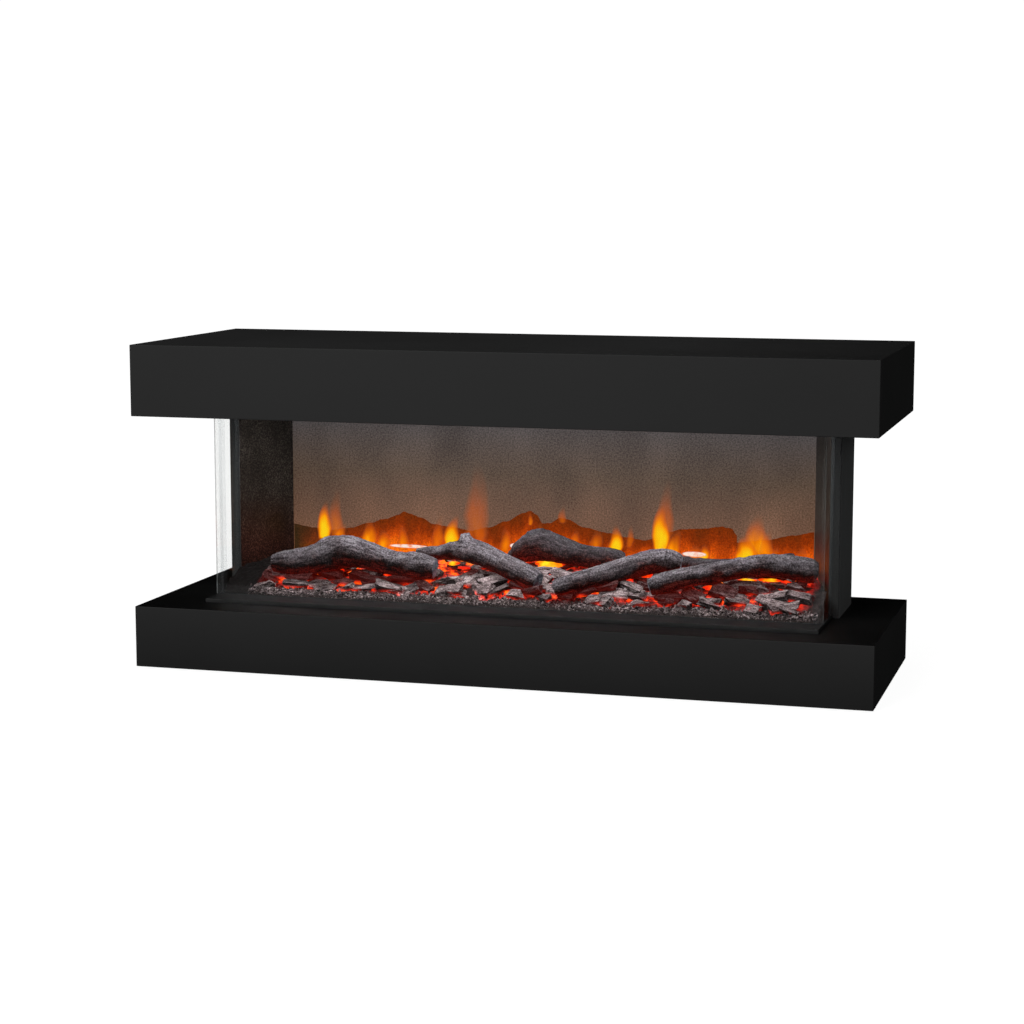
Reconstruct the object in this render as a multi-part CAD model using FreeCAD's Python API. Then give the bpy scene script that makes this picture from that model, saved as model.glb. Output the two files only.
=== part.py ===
import FreeCAD, Part
import math
import os

# Electric fireplace suite: a mantel box above, a plinth box below, and between them a firebox with
# glass on three sides, logs on a glowing ember bed and a flame screen with its lights behind it.
# Millimetres. +Z is up, the front faces -Y, and the origin is on the floor under the middle of the
# box that holds the whole object.

V = FreeCAD.Vector

# ---- Driving dimensions: the suite ----
WIDTH = 1230.0
HEIGHT = 540.0
MANTEL_DEPTH = 450.0
MANTEL_HEIGHT = 118.0
PLINTH_DEPTH = 420.0
PLINTH_TOP = 104.0
BOARD = 18.0
BACK_BOARD = 6.0
BACK_INSET = 12.0
ARRIS = 1.0
GLIDE_HEIGHT = 2.0

# ---- Driving dimensions: the firebox ----
SHEET = 1.5
GLASS = 5.0
GLASS_HALF = 518.0
GLASS_FRONT = -107.0
SEAL = 1.0
CORNER_SEAL = 12.0
LEDGE_FRONT = -155.0
LEDGE_HEIGHT = 6.0
COLUMN_FRONT = -13.0
COLUMN_HALF = 530.0
COLUMN_BACK = 127.0
LINER_FRONT_HALF = 512.0
LINER_FRONT = -10.0
LINER_BACK_HALF = 467.0
SCREEN_FRONT = 125.0
SCREEN = 4.0
SCREEN_HALF = 500.0
REAR_HALF = 510.0

# ---- Driving dimensions: moving pieces ----
SHAFT_PLAY = 0.05
SPINDLE_RADIUS = 3.0
SPINDLE_Y = 166.0
SPINDLE_Z = 142.0
PADDLE_REACH = 20.0
FAN_RADIUS = 26.0
FAN_SHAFT = 2.5
FAN_Y = -138.0
FAN_Z = 480.0
BUTTON_RADIUS = 4.4
ROCKER_TILT = 8.0

# ---- Places that follow from them ----
HALF = WIDTH / 2
FRONT = -MANTEL_DEPTH / 2
MANTEL_BACK = MANTEL_DEPTH / 2
MANTEL_BASE = HEIGHT - MANTEL_HEIGHT
MANTEL_FLOOR = MANTEL_BASE + BOARD
MANTEL_ROOF = HEIGHT - BOARD
PLINTH_BACK = FRONT + PLINTH_DEPTH
INNER_HALF = HALF - BOARD
INNER_FRONT = FRONT + BOARD
BACK_FACE = MANTEL_BACK - BACK_INSET
BED_BASE = PLINTH_TOP + LEDGE_HEIGHT
GLASS_TOP = MANTEL_BASE - SHEET - SEAL
GRILLE_BACK = INNER_FRONT + 35.0
PANEL_X = 430.0
PANEL_Y = -141.0
GLAND_X = 500.0
GLAND_Z = 470.0
GLAND_BORE = 4.0
SCREW_PLAY = 0.1
BACK_SCREW = 2.0
DECK_SCREW = 2.5
BACK_SCREW_SPOTS = [(x, z) for x in (-499.0, 499.0) for z in (130.0, 225.0, 320.0, 400.0)]
DECK_SCREW_SPOTS = [(x, y) for x in (-480.0, 0.0, 480.0) for y in (-60.0, 100.0)]
BUTTON_SPOTS = {"standby_button": PANEL_X - 12, "flame_button": PANEL_X + 6, "heat_button": PANEL_X + 24}
ROCKER_X = PANEL_X - 38.0
ROCKER_Z = MANTEL_BASE + 3.0
WINDOW_X = PANEL_X + 46.0


# ---- Shape helpers ----
def box(x0, x1, y0, y1, z0, z1):
    return Part.makeBox(x1 - x0, y1 - y0, z1 - z0, V(x0, y0, z0))


def rod_x(radius, x0, x1, y, z):
    return Part.makeCylinder(radius, x1 - x0, V(x0, y, z), V(1, 0, 0))


def rod_y(radius, x, y0, y1, z):
    return Part.makeCylinder(radius, y1 - y0, V(x, y0, z), V(0, 1, 0))


def rod_z(radius, x, y, z0, z1):
    return Part.makeCylinder(radius, z1 - z0, V(x, y, z0), V(0, 0, 1))


def closed_face(points):
    return Part.Face(Part.makePolygon(points + points[:1]))


def upright_prism(outline, z0, z1):
    """A plan outline of (x, y) points carried up from z0 to z1."""
    return closed_face([V(x, y, z0) for x, y in outline]).extrude(V(0, 0, z1 - z0))


def long_prism(outline, x0, x1):
    """A cross-section of (y, z) points carried along X."""
    return closed_face([V(x0, y, z) for y, z in outline]).extrude(V(x1 - x0, 0, 0))


def joined(shapes):
    return shapes[0].fuse(shapes[1:]).removeSplitter()


def mirrored(shape):
    """The same shape on the other side of the middle plane."""
    return shape.mirror(V(0, 0, 0), V(1, 0, 0))


def folded_sheet(path, thickness, z0, z1):
    """A sheet folded along a plan path; its thickness lies to the left of the path."""
    points = [V(x, y, 0) for x, y in path]
    runs = [(b - a).normalize() for a, b in zip(points, points[1:])]
    normals = [V(-run.y, run.x, 0) for run in runs]
    pairs = zip(points, [normals[0]] + normals, normals + [normals[-1]])
    offset = [point + (a + b) * (thickness / (1 + a.dot(b))) for point, a, b in pairs]
    return upright_prism(path + [(p.x, p.y) for p in reversed(offset)], z0, z1)


def round_uprights(shape, spots, radius):
    """Round the upright edges that stand on the given (x, y) spots."""
    def on_spot(edge):
        ends = [vertex.Point for vertex in edge.Vertexes]
        upright = len(ends) == 2 and abs(ends[0].z - ends[1].z) > 0.01
        return upright and any(math.hypot(ends[0].x - x, ends[0].y - y) < 0.01
                               and math.hypot(ends[1].x - x, ends[1].y - y) < 0.01 for x, y in spots)
    return shape.makeFillet(radius, [edge for edge in shape.Edges if on_spot(edge)])


# ---- Lacquered boxes: the mantel and the plinth ----
RING = ((0, 0), (1, 0), (1, 1), (0, 1))


def side_corners(low, high, side):
    """The four corners of one side of a box."""
    xs = (low.x, high.x)
    ys = (low.y, high.y)
    zs = (low.z, high.z)
    return {
        "top": [V(xs[i], ys[j], zs[1]) for i, j in RING],
        "front": [V(xs[i], ys[0], zs[j]) for i, j in RING],
        "left": [V(xs[0], ys[i], zs[j]) for i, j in RING],
        "right": [V(xs[1], ys[i], zs[j]) for i, j in RING],
    }[side]


def six_sided(outer, inner):
    """A solid between two four-cornered faces."""
    walls = [[outer[i], outer[(i + 1) % 4], inner[(i + 1) % 4], inner[i]] for i in range(4)]
    solid = Part.makeSolid(Part.Shell([closed_face(points) for points in [outer, inner] + walls]))
    if solid.Volume < 0:
        solid.reverse()
    return solid


def mitred_board(low, high, side):
    """One board of a box that is open below and behind, mitred where it meets the other boards."""
    inner_low = V(low.x + BOARD, low.y + BOARD, low.z)
    inner_high = V(high.x - BOARD, high.y, high.z - BOARD)
    board = six_sided(side_corners(low, high, side), side_corners(inner_low, inner_high, side))
    envelope = box(low.x, high.x, low.y, high.y, low.z, high.z)
    return board.common(envelope.makeFillet(ARRIS, envelope.Edges))


def mantel_board(side):
    return mitred_board(V(-HALF, FRONT, MANTEL_BASE), V(HALF, MANTEL_BACK, HEIGHT), side)


def plinth_board(side):
    return mitred_board(V(-HALF, FRONT, GLIDE_HEIGHT), V(HALF, PLINTH_BACK, PLINTH_TOP), side)


def mantel_bottom_board():
    """The board that lies on the firebox, cut out for the control panel and drilled for its screws."""
    board = box(-INNER_HALF, INNER_HALF, GRILLE_BACK, BACK_FACE - BACK_BOARD, MANTEL_BASE, MANTEL_FLOOR)
    cut_out = box(PANEL_X - 56, PANEL_X + 56, PANEL_Y - 15, PANEL_Y + 15, MANTEL_BASE, MANTEL_FLOOR)
    holes = [rod_z(DECK_SCREW + SCREW_PLAY, x, y, MANTEL_BASE, MANTEL_FLOOR) for x, y in DECK_SCREW_SPOTS]
    return board.cut([cut_out] + holes)


def mantel_back_panel():
    """Thin panel inside the open back, with upright vent slots and a hole for the cable gland."""
    y0 = BACK_FACE - BACK_BOARD
    panel = box(-INNER_HALF, INNER_HALF, y0, BACK_FACE, MANTEL_BASE, MANTEL_ROOF)
    slot_pitch = 14.0
    slots = []
    for centre in (-430.0, -120.0, 120.0):
        for step in range(-6, 7):
            x = centre + step * slot_pitch
            slots.append(box(x - 3, x + 3, y0, BACK_FACE, MANTEL_FLOOR + 5, MANTEL_FLOOR + 18))
    gland_hole = rod_y(8.0, GLAND_X, y0, BACK_FACE, GLAND_Z)
    return panel.cut(slots + [gland_hole])


def warm_air_grille():
    """Strip between the front board and the bottom board, slotted where the heater blows down."""
    strip = box(-INNER_HALF, INNER_HALF, INNER_FRONT, GRILLE_BACK, MANTEL_BASE, MANTEL_BASE + 8)
    slot_pitch = 13.0
    slots = []
    for step in range(-11, 12):
        x = step * slot_pitch
        slots.append(box(x - 4, x + 4, INNER_FRONT + 5, GRILLE_BACK - 5, MANTEL_BASE, MANTEL_BASE + 8))
    return strip.cut(slots)


def corner_blocks():
    """Glue blocks in the front corners of both boxes and the back corners of the plinth."""
    leg = 38.0
    rail_front = PLINTH_BACK - BOARD
    blocks = []
    mantel_span = (MANTEL_FLOOR, MANTEL_ROOF)
    plinth_span = (GLIDE_HEIGHT, PLINTH_TOP - BOARD)
    x = INNER_HALF
    for y, reach, span in ((INNER_FRONT, leg, mantel_span), (INNER_FRONT, leg, plinth_span),
                           (rail_front, -leg, plinth_span)):
        blocks.append(upright_prism([(x, y), (x, y + reach), (x - leg, y)], *span))
    return blocks + [mirrored(block) for block in blocks]


def plinth_back_rail():
    return box(-INNER_HALF, INNER_HALF, PLINTH_BACK - BOARD, PLINTH_BACK, GLIDE_HEIGHT, PLINTH_TOP - BOARD)


def plinth_glides():
    """Round nylon pads under the edges of the plinth's boards."""
    side_x = HALF - BOARD / 2
    spots = [(x, y) for x in (-side_x, side_x) for y in (FRONT + 35, PLINTH_BACK - 35)]
    spots.append((0, PLINTH_BACK - BOARD / 2))
    return [rod_z(8.0, x, y, 0, GLIDE_HEIGHT) for x, y in spots]


# ---- Wall fixing: two steel rails that hook together ----
HOOK = 2.0
RAIL_HALF = 320.0
RAIL_HOLE = 3.0
RAIL_HOLE_X = 250.0
RAIL_HOLE_Z = 460.0


def hanger_rail():
    """Screwed to the mantel's back panel; its lip points down."""
    profile = [(BACK_FACE, 475), (BACK_FACE + HOOK, 475), (BACK_FACE + HOOK, 503), (BACK_FACE + 6, 503),
               (BACK_FACE + 6, 485), (BACK_FACE + 8, 485), (BACK_FACE + 8, 505), (BACK_FACE, 505)]
    return long_prism(profile, -RAIL_HALF, RAIL_HALF)


def wall_rail():
    """Screwed to the wall; its lip points up behind the hanger rail's lip."""
    wall = MANTEL_BACK
    profile = [(wall, 450), (wall, 499), (wall - HOOK, 499), (wall - HOOK, 474), (BACK_FACE + 5, 474),
               (BACK_FACE + 5, 503), (BACK_FACE + 3, 503), (BACK_FACE + 3, 472), (wall - HOOK, 472),
               (wall - HOOK, 450)]
    rail = long_prism(profile, -RAIL_HALF, RAIL_HALF)
    spots = (-RAIL_HOLE_X, RAIL_HOLE_X)
    return rail.cut([rod_y(RAIL_HOLE, x, wall - 2 * HOOK, wall + HOOK, RAIL_HOLE_Z) for x in spots])


# ---- Firebox ----
def liner_half(y):
    """Half the clear width between the splayed liners at a depth y."""
    share = max(0.0, y - LINER_FRONT) / (SCREEN_FRONT - LINER_FRONT)
    return LINER_FRONT_HALF + share * (LINER_BACK_HALF - LINER_FRONT_HALF)


def splayed_outline(front, back, gap):
    """Plan outline that stays a gap inside the side glasses and the splayed liners."""
    right = [(liner_half(y) - gap, y) for y in (front, LINER_FRONT, back)]
    return right + [(-x, y) for x, y in reversed(right)]


def glass_tray():
    """Low steel ledge that holds the glass, with a shallow recess for the ember lights."""
    right = [(GLASS_HALF, LEDGE_FRONT), (GLASS_HALF, COLUMN_FRONT), (REAR_HALF, COLUMN_FRONT),
             (REAR_HALF, SCREEN_FRONT - SHEET)]
    tray = upright_prism(right + [(-x, y) for x, y in reversed(right)], PLINTH_TOP, BED_BASE)
    rim = [edge for edge in tray.Edges
           if edge.BoundBox.ZMin > BED_BASE - 0.01 and edge.BoundBox.YMax < COLUMN_FRONT + 0.01
           and (edge.BoundBox.YLength > 1 or edge.BoundBox.YMax < LEDGE_FRONT + 0.01)]
    tray = tray.makeFillet(1.5, rim)
    return tray.cut(upright_prism(splayed_outline(-92.0, 112.0, 14.0), PLINTH_TOP + 2, BED_BASE))


def front_glass():
    back = GLASS_FRONT + GLASS
    return box(-GLASS_HALF, GLASS_HALF, GLASS_FRONT, back, BED_BASE + SEAL, GLASS_TOP)


def right_glass():
    front = GLASS_FRONT + GLASS
    return box(GLASS_HALF - GLASS, GLASS_HALF, front, COLUMN_FRONT - 4, BED_BASE + SEAL, GLASS_TOP)


def glass_seals():
    """Clear strips under the glass, angles inside its corners and strips between it and the columns."""
    back = GLASS_FRONT + GLASS
    inner = GLASS_HALF - GLASS
    base = box(-GLASS_HALF, GLASS_HALF, GLASS_FRONT, back, BED_BASE, BED_BASE + SEAL)
    side_base = box(inner, GLASS_HALF, back, COLUMN_FRONT - 4, BED_BASE, BED_BASE + SEAL)
    angle = [(inner, back), (inner - CORNER_SEAL, back), (inner - CORNER_SEAL, back + SEAL),
             (inner - SEAL, back + SEAL), (inner - SEAL, back + CORNER_SEAL), (inner, back + CORNER_SEAL)]
    corner = upright_prism(angle, BED_BASE + SEAL, GLASS_TOP)
    rear = box(inner, GLASS_HALF, COLUMN_FRONT - 4, COLUMN_FRONT, BED_BASE, GLASS_TOP)
    right = [side_base, corner, rear]
    return [base] + right + [mirrored(strip) for strip in right]


def right_column():
    """Folded steel: flange beside the glass, outer side, step in, side of the rear box, back flange."""
    step = REAR_HALF
    back = PLINTH_BACK - SHEET
    path = [(LINER_FRONT_HALF, COLUMN_FRONT), (COLUMN_HALF, COLUMN_FRONT), (COLUMN_HALF, COLUMN_BACK),
            (step, COLUMN_BACK), (step, back), (step - 20, back)]
    column = folded_sheet(path, SHEET, PLINTH_TOP, MANTEL_BASE)
    column = round_uprights(column, [(COLUMN_HALF, COLUMN_FRONT)], 2 * SHEET)
    column = round_uprights(column, [(COLUMN_HALF - SHEET, COLUMN_FRONT + SHEET)], SHEET)
    radius = BACK_SCREW + SCREW_PLAY
    return column.cut([rod_y(radius, x, back - 2 * SHEET, back, z) for x, z in BACK_SCREW_SPOTS])


def right_liner():
    """Splayed steel side of the firebox, folded outwards where it meets the flame screen."""
    path = [(LINER_FRONT_HALF, LINER_FRONT), (LINER_BACK_HALF, SCREEN_FRONT), (REAR_HALF - 2, SCREEN_FRONT)]
    return folded_sheet(path, -SHEET, BED_BASE, MANTEL_BASE - SHEET)


def firebox_top_panel():
    """Steel roof with a lip outside the top edges of the glass, drilled for the mantel's screws."""
    lip = GLASS_FRONT - SHEET
    side = GLASS_HALF + SHEET
    stop = COLUMN_FRONT - 0.2
    under = MANTEL_BASE - SHEET
    pieces = [
        box(-side, side, lip, stop, under, MANTEL_BASE),
        box(-REAR_HALF + 2, REAR_HALF - 2, stop, PLINTH_BACK - 2 * SHEET, under, MANTEL_BASE),
        box(-side, side, lip, GLASS_FRONT, MANTEL_BASE - 12, under),
        box(GLASS_HALF, side, GLASS_FRONT, stop, MANTEL_BASE - 12, under),
        box(-side, -GLASS_HALF, GLASS_FRONT, stop, MANTEL_BASE - 12, under),
    ]
    radius = DECK_SCREW + SCREW_PLAY
    return joined(pieces).cut([rod_z(radius, x, y, under, MANTEL_BASE) for x, y in DECK_SCREW_SPOTS])


def log_light_strip():
    """Row of small lamps on a strip under the roof, close behind the front glass."""
    roof = MANTEL_BASE - SHEET
    strip = box(-480, 480, -94, -84, roof - 1.5, roof)
    lamps = [box(x - 2.5, x + 2.5, -91.5, -86.5, roof - 3, roof - 1.5) for x in range(-460, 461, 40)]
    return joined([strip] + lamps)


def flame_screen():
    """Half-mirror diffusing panel that the flames are thrown on from behind."""
    back = SCREEN_FRONT + SCREEN
    return box(-SCREEN_HALF, SCREEN_HALF, SCREEN_FRONT, back, PLINTH_TOP, MANTEL_BASE - SHEET)


# ---- Fuel bed ----
BED_SKIN = 3.0
BED_FRONT = -99.0
BED_BACK = 123.0
BED_PROFILE = [(BED_FRONT, 113), (-86, 120), (-62, 131), (-20, 143), (50, 150), (BED_BACK, 155)]

# Each log: its name, then the places (x, y, z) and radius where its thickness or direction changes.
LOGS = {
    "left_log": [(-433, -62, 158, 16), (-400, -62, 163, 21), (-350, -60, 171, 25), (-300, -58, 185, 28),
                 (-255, -56, 177, 23), (-196, -56, 167, 21), (-142, -56, 160, 17)],
    "knotted_log": [(-206, 46, 171, 8), (-170, 30, 176, 11), (-130, 9, 184, 15), (-88, -20, 190, 20),
                    (-38, -43, 177, 19), (-3, -57, 165, 18), (34, -68, 151, 17)],
    "centre_log": [(-68, 66, 161, 9), (-38, 62, 168, 12), (-10, 58, 184, 22), (18, 56, 190, 25),
                   (60, 54, 182, 21), (104, 52, 175, 18), (156, 50, 170, 15)],
    "crossing_log": [(74, -82, 144, 14), (119, -66, 157, 17), (160, -46, 169, 18), (204, -28, 181, 19),
                     (235, -14, 185, 20), (262, -4, 180, 17)],
    "right_log": [(232, -80, 152, 13), (278, -66, 166, 16), (324, -50, 175, 17), (370, -34, 184, 18),
                  (414, -18, 187, 18), (452, -4, 182, 20), (484, 8, 174, 19)],
    "back_log": [(222, 62, 167, 12), (282, 58, 168, 14), (344, 54, 168, 14), (400, 50, 175, 15),
                 (446, 46, 186, 14)],
}


def ember_bed():
    """Vacuum-formed translucent shell over the ember lights, rising towards the flame screen."""
    base = BED_BASE
    outer = long_prism([(BED_FRONT, base)] + BED_PROFILE + [(BED_BACK, base)], -GLASS_HALF, GLASS_HALF)
    hollow = [(y, z - BED_SKIN) for y, z in BED_PROFILE]
    inner = long_prism([(BED_FRONT, base)] + hollow + [(BED_BACK, base)], -GLASS_HALF, GLASS_HALF)
    skin = BED_SKIN
    shell = outer.common(upright_prism(splayed_outline(BED_FRONT, BED_BACK, 2.0), base, MANTEL_BASE))
    inner_outline = splayed_outline(BED_FRONT + skin, BED_BACK - skin, 2 + skin)
    void = inner.common(upright_prism(inner_outline, base, MANTEL_BASE))
    return shell.cut([void] + [log(name) for name in LOGS])


def log(name):
    """A log lofted through round sections, with its ends square to its line."""
    places = [V(x, y, z) for x, y, z, radius in LOGS[name]]
    radii = [radius for x, y, z, radius in LOGS[name]]
    before = [places[0]] + places[:-1]
    after = places[1:] + [places[-1]]
    sections = []
    for place, radius, last, following in zip(places, radii, before, after):
        section = Part.Wire(Part.makeCircle(radius, V(0, 0, 0), V(1, 0, 0)))
        section.Placement = FreeCAD.Placement(place, FreeCAD.Rotation(V(1, 0, 0), following - last))
        sections.append(section)
    return Part.makeLoft(sections, True, False)


def ember_chips():
    """Loose wedges of charred resin lying along the front of the bed."""
    pitch = 27.0
    chips = []
    for step in range(-18, 19):
        size = 9.0 + 2.5 * math.sin(2.3 * step)
        wedge = [(-size, -4), (size, -5), (size * 0.6, 4), (-size * 0.7, 5)]
        chip = upright_prism(wedge, 0, 3.6)
        chip.rotate(V(0, 0, 0), V(0, 0, 1), 25 * math.sin(1.7 * step))
        chip.translate(V(step * pitch, BED_FRONT + 8, 123.4))
        chips.append(chip)
    return chips


def ember_led_strips():
    """Three light strips in the tray's recess, each with its row of lamps."""
    floor = PLINTH_TOP + 2
    strips = []
    for y in (-70.0, 0.0, 70.0):
        half = liner_half(y) - 30
        strip = box(-half, half, y - 5, y + 5, floor, floor + 1.5)
        lamps = [box(x - 2.5, x + 2.5, y - 2.5, y + 2.5, floor + 1.5, floor + 3)
                 for x in range(-420, 421, 35)]
        strips.append(joined([strip] + lamps))
    return strips


# ---- Flame effect behind the screen ----
BEARING_SPOTS = ((-486.0, -482.0), (454.0, 458.0))


def flame_mask():
    """Thin sheet with flame-shaped slots, between the lights and the screen."""
    y0 = SCREEN_FRONT + SCREEN + 9
    slots = []
    for step in range(-13, 14):
        x = step * 33.0
        height = 40.0 + 14.0 * math.sin(2.1 * step)
        foot = 125.0
        shape = [(x - 5, foot), (x + 5, foot), (x + 7, foot + height * 0.3), (x + 1, foot + height),
                 (x - 2, foot + height * 0.6), (x - 7, foot + height * 0.3)]
        outline = closed_face([V(px, y0, pz) for px, pz in shape])
        slots.append(outline.extrude(V(0, 1, 0)))
    return box(-475, 475, y0, y0 + 1, PLINTH_TOP, 250).cut(slots)


def flame_led_board():
    """Lamps that shine up past the turning paddles."""
    strip = box(-440, 440, SPINDLE_Y - 14, SPINDLE_Y + 14, PLINTH_TOP, PLINTH_TOP + 3)
    lamps = [box(x - 4, x + 4, SPINDLE_Y - 4, SPINDLE_Y + 4, PLINTH_TOP + 3, PLINTH_TOP + 6)
             for x in range(-420, 421, 60)]
    return joined([strip] + lamps)


def flame_spindle():
    """Long rod with bright paddles set round it at changing angles."""
    rod = rod_x(SPINDLE_RADIUS, -488, 478, SPINDLE_Y, SPINDLE_Z)
    pieces = [rod]
    for step in range(22):
        x = -440 + step * 40.0
        paddle = box(x, x + 26, SPINDLE_Y - 0.6, SPINDLE_Y + 0.6, SPINDLE_Z + 1, SPINDLE_Z + PADDLE_REACH)
        paddle.rotate(V(x, SPINDLE_Y, SPINDLE_Z), V(1, 0, 0), 137.5 * step)
        pieces.append(paddle)
    return joined(pieces)


def spindle_bearings():
    """Two standing plates, each with a hole that the rod turns in."""
    plates = []
    for x0, x1 in BEARING_SPOTS:
        plate = box(x0, x1, SPINDLE_Y - 12, SPINDLE_Y + 12, PLINTH_TOP, SPINDLE_Z + 12)
        plates.append(plate.cut(rod_x(SPINDLE_RADIUS + SHAFT_PLAY, x0, x1, SPINDLE_Y, SPINDLE_Z)))
    return plates


def spindle_motor():
    """Slow gear motor on the right-hand bearing plate; the rod's end sits in its sleeve."""
    x0 = BEARING_SPOTS[1][1]
    case = rod_x(21.0, x0, x0 + 24, SPINDLE_Y, SPINDLE_Z)
    gear_case = rod_x(12.0, x0 + 24, x0 + 38, SPINDLE_Y, SPINDLE_Z)
    sleeve = rod_x(SPINDLE_RADIUS + SHAFT_PLAY, x0, x0 + 22, SPINDLE_Y, SPINDLE_Z)
    return joined([case, gear_case]).cut(sleeve)


def rear_reflector():
    """Bright curved strip round the back of the spindle."""
    outer = rod_x(25.0, -478, 450, SPINDLE_Y, SPINDLE_Z)
    inner = rod_x(24.0, -478, 450, SPINDLE_Y, SPINDLE_Z)
    keep = box(-478, 450, SPINDLE_Y + 8, SPINDLE_Y + 30, SPINDLE_Z - 30, SPINDLE_Z + 30)
    return outer.cut(inner).common(keep)


def rear_back_panel():
    """Steel back of the flame box, with a row of vent slots and holes for its screws."""
    y0 = PLINTH_BACK - SHEET
    panel = box(-REAR_HALF, REAR_HALF, y0, PLINTH_BACK, PLINTH_TOP, MANTEL_BASE - SHEET)
    slots = [box(x - 20, x + 20, y0, PLINTH_BACK, 380, 385) for x in range(-420, 421, 60)]
    holes = [rod_y(BACK_SCREW + SCREW_PLAY, x, y0, PLINTH_BACK, z) for x, z in BACK_SCREW_SPOTS]
    return panel.cut(slots + holes)


def casing_screws():
    """Screws of the back panel, and those that hold the mantel on the firebox roof."""
    screws = []
    for x, z in BACK_SCREW_SPOTS:
        shank = rod_y(BACK_SCREW, x, PLINTH_BACK - 6, PLINTH_BACK, z)
        head = rod_y(2 * BACK_SCREW, x, PLINTH_BACK, PLINTH_BACK + 2, z)
        screws.append(joined([shank, head]))
    for x, y in DECK_SCREW_SPOTS:
        shank = rod_z(DECK_SCREW, x, y, MANTEL_BASE - SHEET, MANTEL_FLOOR)
        head = rod_z(2 * DECK_SCREW, x, y, MANTEL_FLOOR, MANTEL_FLOOR + 2.5)
        screws.append(joined([shank, head]))
    return screws


# ---- Fan heater inside the mantel ----
HEATER_HALF = 180.0
HEATER_WALL = 1.0
HEATER_FRONT = INNER_FRONT + 1
HEATER_BACK = -96.0
HEATER_TOP = 515.0
FAN_HALF = 150.0
FAN_WALL_HOLE = 8.0


def heater_housing():
    """Steel case over the grille: open below at the front, with an air inlet behind the fan."""
    wall = HEATER_WALL
    case = box(-HEATER_HALF, HEATER_HALF, HEATER_FRONT, HEATER_BACK, MANTEL_FLOOR, HEATER_TOP)
    hollow = box(-HEATER_HALF + wall, HEATER_HALF - wall, HEATER_FRONT + wall, HEATER_BACK - wall,
                 MANTEL_FLOOR + wall, HEATER_TOP - wall)
    outlet = box(-FAN_HALF, FAN_HALF, HEATER_FRONT + 4, GRILLE_BACK - 3, MANTEL_FLOOR, MANTEL_FLOOR + wall)
    inlets = [box(x - 3, x + 3, HEATER_BACK - wall, HEATER_BACK, 455, 500) for x in range(-140, 141, 14)]
    shaft_hole = rod_x(FAN_WALL_HOLE + SCREW_PLAY, -HEATER_HALF, HEATER_HALF, FAN_Y, FAN_Z)
    return case.cut([hollow, outlet, shaft_hole] + inlets)


def fan_impeller():
    """Long tangential impeller: three discs joined by a ring of blades, on a through shaft."""
    blade_count = 20
    pieces = [rod_x(FAN_SHAFT, -196, 214, FAN_Y, FAN_Z)]
    for x in (-FAN_HALF, -1.0, FAN_HALF - 2):
        pieces.append(rod_x(FAN_RADIUS, x, x + 2, FAN_Y, FAN_Z))
    for step in range(blade_count):
        rim = FAN_Z + FAN_RADIUS
        blade = box(-FAN_HALF, FAN_HALF, FAN_Y - 0.5, FAN_Y + 0.5, rim - 8, rim - 0.5)
        blade.rotate(V(0, FAN_Y, FAN_Z + FAN_RADIUS - 4), V(1, 0, 0), 30)
        blade.rotate(V(0, FAN_Y, FAN_Z), V(1, 0, 0), step * 360.0 / blade_count)
        pieces.append(blade)
    return joined(pieces)


def fan_bearing():
    """Flanged bush in the housing's left-hand wall."""
    outer_end = -HEATER_HALF - 18
    inner_end = -HEATER_HALF + HEATER_WALL
    sleeve = rod_x(FAN_WALL_HOLE, outer_end, inner_end, FAN_Y, FAN_Z)
    flange = rod_x(12.0, -HEATER_HALF - 5, -HEATER_HALF, FAN_Y, FAN_Z)
    return joined([sleeve, flange]).cut(rod_x(FAN_SHAFT + SHAFT_PLAY, outer_end, inner_end, FAN_Y, FAN_Z))


def fan_motor():
    """Motor on the housing's right-hand wall, round the impeller's shaft."""
    case = rod_x(24.0, HEATER_HALF, 226, FAN_Y, FAN_Z)
    nose = rod_x(FAN_WALL_HOLE, HEATER_HALF - HEATER_WALL, HEATER_HALF, FAN_Y, FAN_Z)
    bore = rod_x(FAN_SHAFT + SHAFT_PLAY, HEATER_HALF - HEATER_WALL, 216, FAN_Y, FAN_Z)
    return joined([case, nose]).cut(bore)


def heating_element():
    """Finned block in the outlet, over the grille."""
    y0 = HEATER_FRONT + 6
    y1 = y0 + 20
    block = box(-140, 140, y0, y1, 446, 466)
    grooves = [box(x - 2, x + 2, y0, y1 - 4, 446, 466) for x in range(-130, 131, 10)]
    return block.cut(grooves)


def thermal_cutout():
    """Small disc on top of the housing that cuts the element off when it gets too hot."""
    x, y = 110.0, -175.0
    disc = rod_z(8.0, x, y, HEATER_TOP, HEATER_TOP + 3)
    return joined([disc, rod_z(5.0, x, y, HEATER_TOP + 3, HEATER_TOP + 5)])


# ---- Controls under the mantel, and the electrics above them ----
BEZEL_OUT = 2.0
BUTTON_HOLE = BUTTON_RADIUS + 0.3
ROCKER_PIN = 1.5
WINDOW_RADIUS = 3.0


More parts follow.
